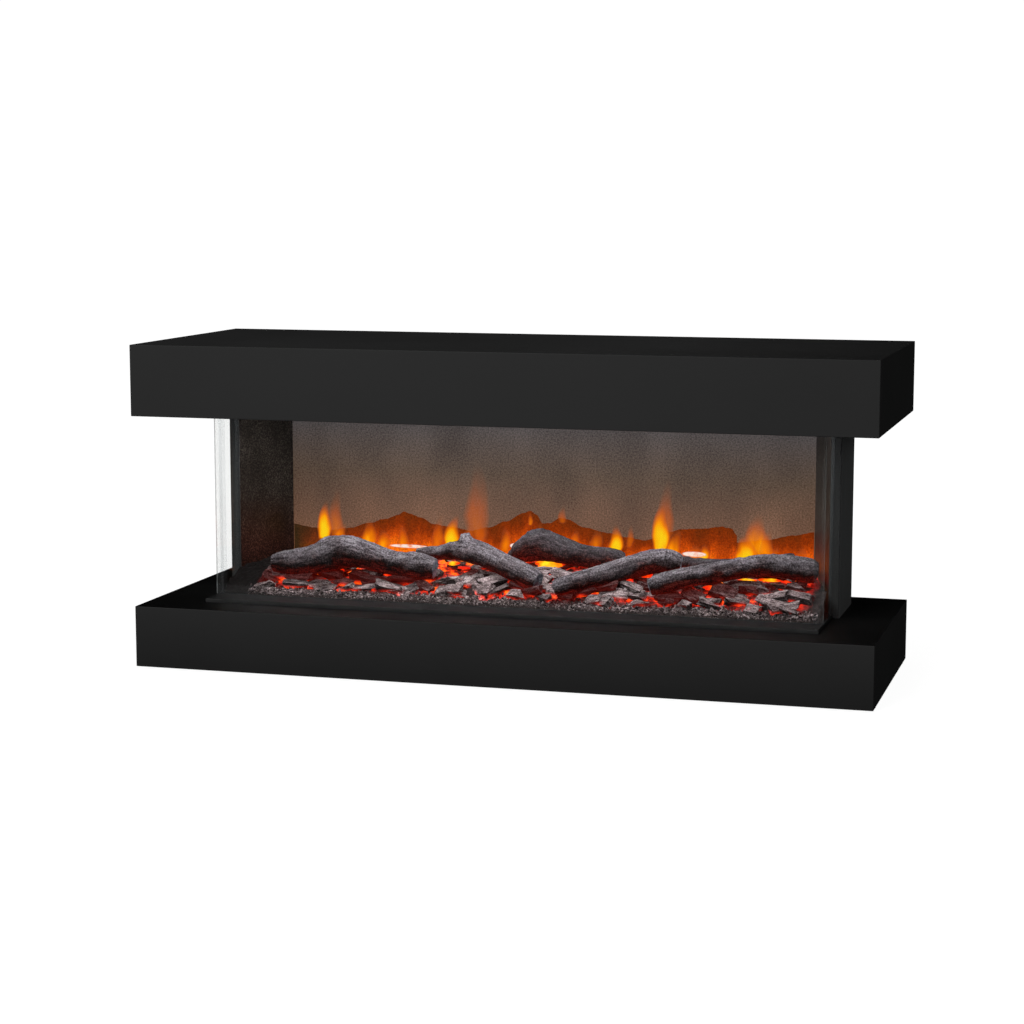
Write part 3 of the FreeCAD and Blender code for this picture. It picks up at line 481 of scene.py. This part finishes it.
def dress_firebox():
    steel = grained("powder_steel", tone(16, 17, 17), tone(34, 34, 34), 0.6, 700.0, 0.00006,
                    Specular_IOR_Level=0.3)
    dress(steel, "glass_tray", "firebox_top_panel", "rear_back_panel", "warm_air_grille")
    dress(column_steel(), "left_column", "right_column")
    dress(liner_steel(), "left_liner", "right_liner")
    dress(clear_glass("front_pane", "X", 0.35, 0.4), "front_glass")
    dress(clear_glass("side_pane", "Y", 0.06, 0.12), "left_glass", "right_glass")
    dress(clear_seal(), "glass_seals")
    dress(smoky_screen(), "flame_screen")


def dress_works():
    """Metal, plastic and boards of the flame effect, heater, controls and fixings."""
    zinc = grained("zinc_steel", tone(150, 152, 154), tone(196, 198, 200), 0.35, 300.0, 0.00003,
                   (0.1, 1, 1), Metallic=1.0)
    dress(zinc, "hanger_rail", "wall_rail", "casing_screws", "flame_spindle", "heater_housing")
    aluminium = grained("brushed_aluminium", tone(176, 178, 180), tone(210, 212, 214), 0.3, 400.0, 0.00003,
                        (0.06, 1, 1), Metallic=1.0)
    dress(aluminium, "rear_reflector", "flame_mask", "fan_impeller", "heating_element")
    dress(grained("motor_steel", tone(84, 86, 90), tone(120, 122, 126), 0.4, 500.0, Metallic=0.9),
          "spindle_motor", "fan_motor", "thermal_cutout")
    dress(grained("white_nylon", tone(196, 194, 186), tone(216, 214, 206), 0.5, 500.0),
          "spindle_bearings", "fan_bearing")
    dress(grained("black_plastic", tone(16, 16, 17), tone(30, 30, 32), 0.4, 1200.0, 0.00002),
          "control_bezel", "rocker_switch", "standby_button", "flame_button", "heat_button")
    dress(infrared_glass(), "infrared_window")
    dress(circuit_board(), "control_board", "power_board")


def dress_lamps():
    for node, facing, color in (
        ("ember_led_strips", 1, tone(255, 70, 10)),
        ("log_light_strip", -1, tone(255, 236, 210)),
        ("flame_led_board", 1, tone(255, 150, 30)),
    ):
        low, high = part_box(node)
        board, lamps = (low.z, high.z) if facing > 0 else (high.z, low.z)
        dress(lamp_strip(node + "_finish", board + 0.6 * (lamps - board), lamps, color), node)


# ---- Pieces ----
def new_piece(name, places, faces, material, slot, replaced=(), smooth=True, **values):
    """A mesh piece of the suite. values are painted on its vertices, as numbers or vectors."""
    mesh = bpy.data.meshes.new(name)
    mesh.from_pydata(places, [], faces)
    for value_name, numbers in values.items():
        if isinstance(numbers[0], (float, int)):
            attribute = mesh.attributes.new(value_name, "FLOAT", "POINT")
            attribute.data.foreach_set("value", numbers)
        else:
            attribute = mesh.attributes.new(value_name, "FLOAT_VECTOR", "POINT")
            attribute.data.foreach_set("vector", [part for vector in numbers for part in vector])
    mesh.polygons.foreach_set("use_smooth", [smooth] * len(mesh.polygons))
    mesh.materials.append(material)
    thing = bpy.data.objects.new(name, mesh)
    bpy.context.scene.collection.objects.link(thing)
    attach(thing, BODY)
    if replaced:
        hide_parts(*replaced)
    return thing


def grid_faces(rows, columns, closed=False):
    """Faces of a grid of vertices listed row by row, joined round each row if closed."""
    faces = []
    last = columns if closed else columns - 1
    for row in range(rows - 1):
        for column in range(last):
            beside = (column + 1) % columns
            start = row * columns
            faces.append((start + column, start + beside, start + columns + beside, start + columns + column))
    return faces


def eased(share):
    """0 to 1 with a soft start and end."""
    share = min(max(share, 0.0), 1.0)
    return share * share * (3 - 2 * share)


# ---- Logs ----
LOG_SLICES = 22
LOG_STATIONS = 150
LOG_SIDES = 56
CAP_RINGS = 7
# Knots: the log, how far along it, angle up from the front side, height and reach of the swelling.
KNOTS = [
    ("knotted_log", 0.43, 84, 0.014, 0.013),
    ("knotted_log", 0.30, 20, 0.004, 0.016),
    ("crossing_log", 0.88, 40, 0.009, 0.017),
    ("left_log", 0.36, 70, 0.005, 0.024),
    ("centre_log", 0.33, 80, 0.008, 0.026),
    ("right_log", 0.80, 40, 0.004, 0.022),
]
# Places along the logs' middles with the radius there, which shade the bed below them.
LOG_SHADE = []
SHADE_STEP = 4
SHADE_EDGE = 0.012


def log_slices(node):
    """Middle and radius of a CAD log at evenly spaced places along x."""
    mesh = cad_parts[node].data
    low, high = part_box(node)
    margin = 0.05 * (high.x - low.x)
    slices = []
    for step in range(LOG_SLICES):
        x = low.x + margin + (high.x - low.x - 2 * margin) * step / (LOG_SLICES - 1)
        ys, zs = [], []
        for edge in mesh.edges:
            a, b = (mesh.vertices[index].co for index in edge.vertices)
            if (a.x - x) * (b.x - x) < 0:
                place = a.lerp(b, (x - a.x) / (b.x - a.x))
                ys.append(place.y)
                zs.append(place.z)
        middle = Vector((x, (min(ys) + max(ys)) / 2, (min(zs) + max(zs)) / 2))
        slices.append((middle, (max(zs) - min(zs)) / 2))
    return slices


def log_centreline(node):
    """Evenly spaced places, tangents and radii from one end of a log to the other."""
    slices = log_slices(node)
    first = slices[0][0] + (slices[0][0] - slices[1][0]) * 0.9
    last = slices[-1][0] + (slices[-1][0] - slices[-2][0]) * 0.9
    slices = [(first, slices[0][1] * 0.93)] + slices + [(last, slices[-1][1] * 0.93)]
    line = []
    for step in range(LOG_STATIONS):
        at = step / (LOG_STATIONS - 1) * (len(slices) - 1)
        index = min(int(at), len(slices) - 2)
        share = at - index
        place = slices[index][0].lerp(slices[index + 1][0], share)
        tangent = (slices[min(index + 2, len(slices) - 1)][0] - slices[max(index - 1, 0)][0]).normalized()
        radius = slices[index][1] * (1 - share) + slices[index + 1][1] * share
        line.append((place, tangent, radius * (1 - 0.12 * abs(tangent.z))))
    return line


def bark(along, around, radius, seed):
    """How far the bark stands out, in metres: long fibres, slow lumps and cross cracks."""
    side = Vector((math.cos(around), math.sin(around))) * radius
    lump = noise.noise(Vector((along * 16 + seed, side.x * 28, side.y * 28)))
    fibre = noise.noise(Vector((along * 26, side.x * 210, side.y * 210 + seed)))
    splinter = noise.noise(Vector((along * 120, side.x * 420, side.y * 420 + seed)))
    crack = max(0.0, abs(noise.noise(Vector((along * 34 + seed, side.x * 60, side.y * 60)))) - 0.32)
    return 0.0028 * lump + 0.0016 * fibre + 0.0008 * splinter - 0.006 * crack


def knot_height(node, share, around, length, radius):
    """Swelling of the bark round a knot, with a hollow in its middle."""
    height = 0.0
    for owner, at, angle, rise, reach in KNOTS:
        if owner != node:
            continue
        turn = (around - math.radians(angle) + math.pi) % (2 * math.pi) - math.pi
        distance = math.hypot((share - at) * length, turn * radius) / reach
        ripple = 0.12 * math.cos(16 * distance) * math.exp(-1.5 * distance ** 2)
        height += rise * (math.exp(-2.2 * distance ** 2) - 0.75 * math.exp(-22 * distance ** 2) + ripple)
    return height


def build_log(node, seed, material):
    """Rebuilds a CAD log as a tube with bark, knots and rough ends."""
    line = log_centreline(node)
    length = sum((b[0] - a[0]).length for a, b in zip(line, line[1:]))
    places, grain, top, cut = [], [], [], []
    rings = [(0, 1 - ring / CAP_RINGS) for ring in range(CAP_RINGS, 0, -1)]
    rings += [(station, 1.0) for station in range(LOG_STATIONS)]
    rings += [(LOG_STATIONS - 1, 1 - ring / CAP_RINGS) for ring in range(1, CAP_RINGS + 1)]
    for station, reach in rings:
        centre, tangent, radius = line[station]
        front = tangent.cross(Vector((0, 0, 1))).normalized()
        up = front.cross(tangent).normalized()
        share = station / (LOG_STATIONS - 1)
        worn = 1 - 0.1 * max(0.0, 1 - 30 * min(share, 1 - share))
        for side in range(LOG_SIDES):
            around = 2 * math.pi * side / LOG_SIDES
            stand = bark(share * length, around, radius, seed)
            stand += knot_height(node, share, around, length, radius)
            outward = front * math.cos(around) + up * math.sin(around)
            spread = (radius * worn + stand) * max(reach, 0.02)
            splinter = 0.003 * noise.noise(outward * spread * 260 + Vector((seed, 0, 0))) * (reach < 1)
            places.append(centre + outward * spread + tangent * splinter)
            across, upwards = radius * math.cos(around), radius * math.sin(around)
            grain.append(Vector((share * length, across, upwards + seed)))
            top.append(math.sin(around) * 0.95 + stand * 30)
            cut.append(1.0 if reach < 1 else 0.0)
    faces = grid_faces(len(rings), LOG_SIDES, closed=True)
    new_piece("resin_" + node, places, faces, material, "charred_log", (node,),
              grain=grain, top=top, cut=cut)
    LOG_SHADE.extend((place, radius) for place, tangent, radius in line[::SHADE_STEP])


def build_logs():
    near = charred_log("near_log", 1.0)
    # the logs further back get darker ash, as painted shade
    far = charred_log("far_log_painted_shade", 0.42)
    logs = ("left_log", "knotted_log", "centre_log", "crossing_log", "right_log", "back_log")
    for seed, node in enumerate(logs):
        build_log(node, 3.7 * seed + 1.3, far if node in ("centre_log", "back_log") else near)


def shelter(x, y):
    """How far a place on the bed lies under a log: 1 right below it, 0 where it is open."""
    nearest = min(math.hypot(x - place.x, y - place.y) - 0.25 * radius for place, radius in LOG_SHADE)
    return min(1.0, max(0.0, 1 - nearest / SHADE_EDGE))


# ---- Ember bed ----
BED_ROWS = 90
BED_COLUMNS = 380
BED_LUMP = 0.004
BED_INSET = 0.0006


def cad_surface(node):
    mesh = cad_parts[node].data
    places = [vertex.co.copy() for vertex in mesh.vertices]
    return BVHTree.FromPolygons(places, [tuple(polygon.vertices) for polygon in mesh.polygons])


BED_SURFACE = cad_surface("ember_bed")


def bed_height(x, y):
    """Height of the CAD bed under a point, or of its foot beside it."""
    hit = BED_SURFACE.ray_cast(Vector((x, y, ROOF_HIGH.z)), Vector((0, 0, -1)))[0]
    return hit.z if hit else BED_LOW.z


def bed_half(y):
    """Half width of the bed at a depth, found from its foot."""
    beside = Vector((cad_box[1].x, y, BED_LOW.z + 0.001))
    hit = BED_SURFACE.ray_cast(beside, Vector((-1, 0, 0)))[0]
    return hit.x if hit else BED_HIGH.x


def build_bed():
    """Moulded bed as a lumpy sheet over the CAD bed, with its front wall."""
    places = []
    for row in range(BED_ROWS):
        share = max(0, row - 1) / (BED_ROWS - 2)
        y = BED_LOW.y + BED_INSET + (BED_HIGH.y - BED_LOW.y - 2 * BED_INSET) * share
        half = bed_half(y) - 0.0005
        for column in range(BED_COLUMNS):
            x = -half + 2 * half * column / (BED_COLUMNS - 1)
            z = bed_height(x * 0.999, y)
            lump = noise.fractal(Vector((x, y, 0)) * 70, 0.8, 2.0, 4) * BED_LUMP
            z += 0.0 if row == 0 else lump * eased(row / 8)
            places.append((x, y, BED_LOW.z if row == 0 else max(z, BED_LOW.z + 0.001)))
    faces = grid_faces(BED_ROWS, BED_COLUMNS)
    new_piece("moulded_ember_bed", places, faces, glowing_bed(), "ember_resin", ("ember_bed",))


class Heap:
    """Many small shapes gathered into one mesh, with the grain, bedding and shade of each vertex."""

    def __init__(self):
        self.places, self.faces, self.grain, self.level, self.shade = [], [], [], [], []

    def add(self, shape, matrix, ground):
        start = len(self.places)
        offset = Vector((draw.uniform(0, 9), draw.uniform(0, 9), draw.uniform(0, 9)))
        for vertex in shape.verts:
            place = matrix @ vertex.co
            self.places.append(place)
            self.grain.append(vertex.co + offset)
            self.level.append(place.z - ground)
        self.shade += [shelter(*matrix.translation.xy)] * len(shape.verts)
        shape.verts.index_update()
        self.faces += [tuple(start + vertex.index for vertex in face.verts) for face in shape.faces]

    def piece(self, name, material, replaced=()):
        new_piece(name, self.places, self.faces, material, "ember_resin", replaced, smooth=False,
                  grain=self.grain, level=self.level, shade=self.shade)


def flake(half_sizes, corners, cuts, ridge):
    """An angular piece of charred bark, centred on the origin with its fibres along x."""
    shape = bmesh.new()
    for _ in range(corners):
        way = Vector([draw.uniform(-1, 1) for _ in range(3)]).normalized()
        blocky = [math.copysign(abs(part) ** 0.55, part) for part in way]
        shape.verts.new([part * half for part, half in zip(blocky, half_sizes)])
    hull = bmesh.ops.convex_hull(shape, input=shape.verts)
    inside = [item for item in hull["geom_interior"] if isinstance(item, bmesh.types.BMVert)]
    bmesh.ops.delete(shape, geom=inside, context="VERTS")
    bmesh.ops.subdivide_edges(shape, edges=shape.edges, cuts=cuts, use_grid_fill=True)
    shape.normal_update()
    seed = draw.uniform(0, 50)
    for vertex in shape.verts:
        fibre = noise.noise(Vector((vertex.co.x * 40 + seed, vertex.co.y * 260, vertex.co.z * 260)))
        lump = noise.noise(vertex.co * 90 + Vector((seed, seed, 0)))
        vertex.co += vertex.normal * ridge * (0.6 * fibre + lump)
    return shape


# Rows of chips from the glass inwards: depth, spacing, size, how far they lean back, and left end.
CHIP_ROWS = [
    (-0.084, 0.042, 0.85, 30, -0.455),
    (-0.070, 0.044, 1.10, 26, -0.450),
    (-0.054, 0.046, 1.20, 22, -0.440),
    (-0.036, 0.048, 1.05, 16, -0.420),
    (-0.016, 0.050, 1.00, 10, -0.380),
    (0.006, 0.054, 0.90, 6, -0.360),
    (0.032, 0.058, 0.80, 4, -0.340),
    (0.060, 0.064, 0.70, 2, -0.320),
]
# A chip's half length, half width and half thickness, each between two limits.
CHIP_HALF_SIZES = [(0.018, 0.032), (0.009, 0.015), (0.005, 0.009)]
CHIP_CORNERS = 15
CHIP_CUTS = 3
CHIP_RIDGE = 0.0014


def build_chips():
    """Loose chips lying in rows, tilted like fallen tiles and bedded in the ember bed."""
    heap = Heap()
    for depth, spacing, size, lean, left in CHIP_ROWS:
        right = bed_half(depth) - 0.016
        count = int((right - left) / spacing)
        for step in range(count):
            x = left + (step + draw.uniform(0.15, 0.85)) * (right - left) / count
            y = max(depth + draw.uniform(-0.007, 0.007), BED_LOW.y + 0.016)
            half_sizes = [size * draw.uniform(*span) for span in CHIP_HALF_SIZES]
            turn = Euler((math.radians(lean + draw.uniform(-18, 18)), math.radians(draw.uniform(-18, 18)),
                          math.radians(draw.uniform(-40, 40))))
            ground = bed_height(x, y)
            place = Vector((x, y, ground + half_sizes[2] * draw.uniform(0.5, 1.2)))
            shape = flake(half_sizes, CHIP_CORNERS, CHIP_CUTS, CHIP_RIDGE)
            heap.add(shape, Matrix.Translation(place) @ turn.to_matrix().to_4x4(), ground)
            shape.free()
    heap.piece("charred_chips", charred_chip(), ("ember_chips",))


GRAVEL_MOULDS = 16
GRAVEL_GRAINS = 4200
GRAVEL_HALF_SIZES = (0.0014, 0.001, 0.0008)
GRAVEL_CORNERS = 9
GRAVEL_SPREAD = 0.009
GRAVEL_LEFT = -0.466


def build_gravel():
    """Small grains along the foot of the glass and scattered between the chips."""
    heap = Heap()
    moulds = [flake(GRAVEL_HALF_SIZES, GRAVEL_CORNERS, 0, 0.0) for _ in range(GRAVEL_MOULDS)]
    for _ in range(GRAVEL_GRAINS):
        y = BED_LOW.y + 0.001 + abs(draw.gauss(0, GRAVEL_SPREAD))
        x = draw.uniform(GRAVEL_LEFT, bed_half(y) - 0.004)
        size = draw.uniform(1.5, 3.6)
        ground = bed_height(x, y)
        turn = Euler([draw.uniform(0, math.pi) for _ in range(3)]).to_matrix().to_4x4()
        place = Vector((x, max(y, BED_LOW.y + 0.001 * size), ground + draw.uniform(-0.002, 0.0006) * size))
        matrix = Matrix.Translation(place) @ turn @ Matrix.Scale(size, 4)
        heap.add(draw.choice(moulds), matrix, ground - 0.02)
    for mould in moulds:
        mould.free()
    heap.piece("ember_gravel", charred_chip())


# Hottest embers in the gaps under the logs: x, y, z, half width, half height, heat.
HOT_EMBERS = [
    (0.022, 0.062, 0.157, 0.026, 0.0085, 1.0),
    (-0.134, 0.016, 0.160, 0.011, 0.0035, 0.9),
    (-0.112, 0.006, 0.155, 0.012, 0.0025, 0.2),
    (0.376, 0.006, 0.156, 0.015, 0.0032, 0.8),
    (0.412, 0.008, 0.158, 0.020, 0.0026, 0.7),
    (0.440, 0.004, 0.157, 0.008, 0.0022, 0.2),
    (0.210, -0.020, 0.163, 0.012, 0.006, 0.15),
    (0.186, -0.040, 0.152, 0.007, 0.008, 0.1),
    (-0.352, -0.040, 0.146, 0.010, 0.003, 0.3),
    (-0.318, -0.040, 0.149, 0.007, 0.003, 0.1),
    (-0.228, -0.048, 0.146, 0.010, 0.002, 0.1),
    (0.324, -0.046, 0.150, 0.012, 0.004, 0.2),
]


def build_hot_embers():
    """Lumpy beads lying along the gaps, hottest in their middles."""
    heap_places, heap_faces, core = [], [], []
    for x, y, z, half_width, half_height, glow_amount in HOT_EMBERS:
        shape = bmesh.new()
        bmesh.ops.create_icosphere(shape, subdivisions=3, radius=1.0)
        start = len(heap_places)
        for vertex in shape.verts:
            swell = 1 + 0.35 * noise.noise(vertex.co * 2.2 + Vector((x * 90, 0, 0)))
            size = Vector((half_width, half_height * 1.1, half_height)) * swell
            heap_places.append(Vector((x, y, z)) + vertex.co * size)
            core.append(glow_amount * (1 - 0.75 * abs(vertex.co.x) ** 1.5))
        shape.verts.index_update()
        heap_faces += [tuple(start + vertex.index for vertex in face.verts) for face in shape.faces]
        shape.free()
    new_piece("hot_embers", heap_places, heap_faces, ember_core(), "ember_resin", core=core)


# ---- Flame screen ----
FILM_GAP = 0.0006
SCREEN_FACE = SCREEN_LOW.y
REFLECTION_FOOT = BED_HIGH.z - 0.008
# Outline of the dark orange shapes on the screen, the painted reflection of the logs, from left to right: x
# and z.
REFLECTION_OUTLINE = [
    (-0.466, 0.200), (-0.430, 0.195), (-0.394, 0.192), (-0.360, 0.197), (-0.326, 0.207), (-0.292, 0.216),
    (-0.272, 0.223), (-0.259, 0.230), (-0.246, 0.226), (-0.226, 0.220), (-0.205, 0.210), (-0.170, 0.206),
    (-0.137, 0.201), (-0.104, 0.208), (-0.072, 0.220), (-0.040, 0.236), (-0.028, 0.240), (-0.017, 0.234),
    (-0.006, 0.219), (0.006, 0.220), (0.026, 0.230), (0.038, 0.228), (0.068, 0.215), (0.111, 0.207),
    (0.143, 0.201), (0.176, 0.197), (0.216, 0.213), (0.240, 0.219), (0.272, 0.221), (0.310, 0.226),
    (0.324, 0.224), (0.335, 0.213), (0.333, 0.200), (0.382, 0.206), (0.432, 0.216), (0.466, 0.223),
]
# Flames: x, foot z, height, half width, sideways lean, strength.
FLAMES = [
    (-0.411, 0.172, 0.076, 0.0120, 0.008, 1.00),
    (-0.388, 0.174, 0.098, 0.0130, 0.004, 0.34),
    (-0.380, 0.174, 0.034, 0.0090, 0.010, 0.50),
    (-0.322, 0.160, 0.058, 0.0130, -0.004, 0.72),
    (-0.298, 0.160, 0.040, 0.0120, 0.002, 0.55),
    (-0.262, 0.160, 0.050, 0.0090, 0.002, 0.50),
    (-0.200, 0.164, 0.066, 0.0100, 0.012, 0.42),
    (-0.174, 0.166, 0.066, 0.0130, 0.012, 0.95),
    (-0.142, 0.166, 0.055, 0.0080, 0.006, 0.40),
    (-0.122, 0.180, 0.150, 0.0210, -0.004, 0.24),
    (-0.118, 0.178, 0.050, 0.0090, 0.002, 0.26),
    (-0.074, 0.164, 0.050, 0.0090, 0.002, 0.50),
    (-0.028, 0.214, 0.026, 0.0040, 0.001, 0.45),
    (-0.008, 0.180, 0.046, 0.0060, -0.002, 0.40),
    (0.029, 0.220, 0.034, 0.0070, 0.002, 0.28),
    (0.052, 0.180, 0.034, 0.0080, 0.002, 0.36),
    (0.090, 0.176, 0.040, 0.0110, 0.002, 0.40),
    (0.123, 0.166, 0.060, 0.0120, 0.004, 0.96),
    (0.148, 0.182, 0.046, 0.0060, 0.006, 0.30),
    (0.201, 0.176, 0.094, 0.0140, 0.006, 1.00),
    (0.212, 0.200, 0.110, 0.0130, 0.002, 0.28),
    (0.223, 0.166, 0.056, 0.0120, 0.010, 0.72),
    (0.262, 0.162, 0.034, 0.0130, 0.002, 0.55),
    (0.277, 0.162, 0.036, 0.0090, 0.004, 0.80),
    (0.349, 0.160, 0.058, 0.0170, 0.002, 1.00),
    (0.366, 0.164, 0.092, 0.0210, 0.008, 0.62),
    (0.386, 0.164, 0.066, 0.0110, 0.004, 0.52),
    (0.401, 0.172, 0.026, 0.0050, 0.003, 0.45),
    (0.444, 0.166, 0.034, 0.0100, 0.002, 0.30),
]
# Slivers of white light low on the screen: x, z, half width, half height.
SLIVERS = [(-0.250, 0.169, 0.038, 0.0035), (0.262, 0.177, 0.022, 0.0050), (-0.055, 0.178, 0.010, 0.0050)]


def build_log_reflection():
    """Thin film with the dark orange shapes, the painted reflection of the logs, laid on the screen."""
    columns, rows = 300, 14
    places, rise = [], []
    for column in range(columns):
        share = column / (columns - 1)
        at = share * (len(REFLECTION_OUTLINE) - 1)
        index = min(int(at), len(REFLECTION_OUTLINE) - 2)
        (x0, z0), (x1, z1) = REFLECTION_OUTLINE[index], REFLECTION_OUTLINE[index + 1]
        x = x0 + (x1 - x0) * (at - index)
        z = z0 + (z1 - z0) * eased(at - index) + 0.0012 * noise.noise(Vector((x * 160, 0, 3)))
        for row in range(rows):
            level = row / (rows - 1)
            places.append((x, SCREEN_FACE - FILM_GAP, REFLECTION_FOOT + (z - REFLECTION_FOOT) * level))
            rise.append(level)
    faces = grid_faces(columns, rows)
    new_piece("log_reflection_film", places, faces, log_reflection_glow(), "mirror_screen", rise=rise)


def build_flames():
    """Every flame as a soft tapering sheet just in front of the screen."""
    rows, columns = 26, 9
    places, faces, core = [], [], []
    for number, (x, foot, height, half_width, lean, strength) in enumerate(FLAMES):
        start = len(places)
        depth = SCREEN_FACE - FILM_GAP * (2 + 0.2 * (number % 5))
        for row in range(rows):
            rise = row / (rows - 1)
            width = half_width * (0.8 + 1.6 * rise) if rise < 0.3 else half_width * 1.6 * (1 - rise) ** 0.6
            sway = lean * rise ** 1.4 + 0.15 * half_width * math.sin(7 * rise + number)
            fade = eased(rise / 0.10) * eased((1 - rise) / 0.75)
            for column in range(columns):
                across = 2 * column / (columns - 1) - 1
                places.append((x + sway + across * width, depth, foot + height * rise))
                core.append(strength * fade * (1 - across * across) ** 0.8)
        faces += [tuple(start + index for index in face) for face in grid_faces(rows, columns)]
    new_piece("flame_tongues", places, faces, flame_light(), "mirror_screen", core=core)


def build_slivers():
    """Flat ovals of pale light in front of the flames."""
    rows, columns = 7, 24
    places, faces, core = [], [], []
    for x, z, half_width, half_height in SLIVERS:
        start = len(places)
        for row in range(rows):
            rise = 2 * row / (rows - 1) - 1
            for column in range(columns):
                across = 2 * column / (columns - 1) - 1
                tall = half_height * math.sqrt(max(0.0, 1 - across * across))
                places.append((x + across * half_width, SCREEN_FACE - FILM_GAP * 4, z + rise * tall))
                core.append((1 - rise * rise) * (1 - across ** 4))
        faces += [tuple(start + index for index in face) for face in grid_faces(rows, columns)]
    new_piece("lamp_slivers", places, faces, pale_sliver(), "mirror_screen", core=core)


# ---- Studio ----
CAMERA_PLACE = (1.059, -3.767, 0.806)
CAMERA_TURN = (math.radians(82.0), 0.0, math.radians(16.06))
CAMERA_LENS = 82.76
FLOOR_RADIUS = 11.5
DOME_RADIUS = 12.0


def build_camera():
    camera = bpy.data.objects.new("camera", bpy.data.cameras.new("camera"))
    camera.data.lens = CAMERA_LENS
    camera.data.sensor_width = 36.0
    camera.location = CAMERA_PLACE
    camera.rotation_euler = CAMERA_TURN
    bpy.context.scene.collection.objects.link(camera)
    bpy.context.scene.camera = camera


def area_light(name, place, target, size, power, color=(1.0, 1.0, 1.0)):
    light = bpy.data.lights.new(name, "AREA")
    light.shape = "RECTANGLE"
    light.size, light.size_y = size
    light.energy = power
    light.color = color
    lamp = bpy.data.objects.new(name, light)
    lamp.location = place
    lamp.rotation_euler = (Vector(target) - Vector(place)).to_track_quat("-Z", "Y").to_euler()
    lamp.visible_camera = False
    bpy.context.scene.collection.objects.link(lamp)
    return lamp


def build_lights():
    """Soft light from the front, weaker light from the right and behind, and a strip over the logs."""
    middle = (0.0, 0.0, 0.3)
    area_light("key_light", (-1.6, -4.6, 2.6), middle, (3.0, 2.0), 165)
    side = area_light("right_light", (3.2, -1.0, 1.6), middle, (1.5, 1.5), 19)
    side.visible_glossy = False
    back = area_light("back_light", (0.6, 3.0, 2.2), middle, (2.4, 1.6), 24)
    back.visible_glossy = False
    roof = (0.0, BED_LOW.y + 0.02, ROOF_HIGH.z - 0.008)
    inner = area_light("log_light", roof, (0.0, 0.01, BED_HIGH.z), (0.94, 0.02), 3.2, (1.0, 0.98, 1.0))
    inner.visible_glossy = False


def build_stage():
    """Pale floor, whitest away from the suite, and a pale dome round it that only the camera sees."""
    floor = Paint("pale_floor")
    cloud = floor.noise(0.8, 2.0)
    away = floor.fit(floor.add("VectorMath", {0: floor.place}, operation="LENGTH").outputs["Value"], 0.6, 2.2)
    near = floor.blend(cloud, tone(246, 246, 246), tone(249, 249, 249))
    shine = floor.add("Emission", {"Color": floor.blend(away, near, (1.0, 1.0, 1.0, 1.0))})
    grey = floor.blend(cloud, (0.16, 0.16, 0.16, 1.0), (0.17, 0.17, 0.17, 1.0))
    matt = floor.add("BsdfDiffuse", {"Color": grey})
    floor.finish(floor.add("AddShader", {0: shine.outputs[0], 1: matt.outputs[0]}).outputs[0])
    dome = Paint("pale_dome")
    cloud = dome.noise(0.1, 1.0)
    color = dome.blend(cloud, (1.02, 1.02, 1.02, 1), (1.04, 1.04, 1.04, 1))
    dome.finish(dome.add("Emission", {"Color": color}).outputs[0])
    sheet = bmesh.new()
    bmesh.ops.create_circle(sheet, cap_ends=True, segments=96, radius=FLOOR_RADIUS)
    shell = bmesh.new()
    bmesh.ops.create_uvsphere(shell, u_segments=64, v_segments=32, radius=DOME_RADIUS)
    for name, shape, paint in (("studio_floor", sheet, floor), ("studio_dome", shell, dome)):
        mesh = bpy.data.meshes.new(name)
        shape.to_mesh(mesh)
        shape.free()
        mesh.materials.append(paint.material)
        thing = bpy.data.objects.new(name, mesh)
        bpy.context.scene.collection.objects.link(thing)
        thing.visible_diffuse = False
        thing.visible_glossy = False
        thing.visible_shadow = False
        paint.material.cycles.emission_sampling = "NONE"


def build_world():
    world = bpy.data.worlds.new("studio_air")
    world.use_nodes = True
    background = world.node_tree.nodes["Background"]
    background.inputs["Color"].default_value = (1.0, 1.0, 1.0, 1.0)
    background.inputs["Strength"].default_value = 0.22
    world.cycles_visibility.glossy = False
    bpy.context.scene.world = world
    bpy.context.scene.view_settings.view_transform = "Standard"


dress_cabinet()
dress_firebox()
dress_works()
dress_lamps()
build_logs()
build_bed()
build_chips()
build_gravel()
build_hot_embers()
build_log_reflection()
build_flames()
build_slivers()
build_world()
build_stage()
build_lights()
build_camera()
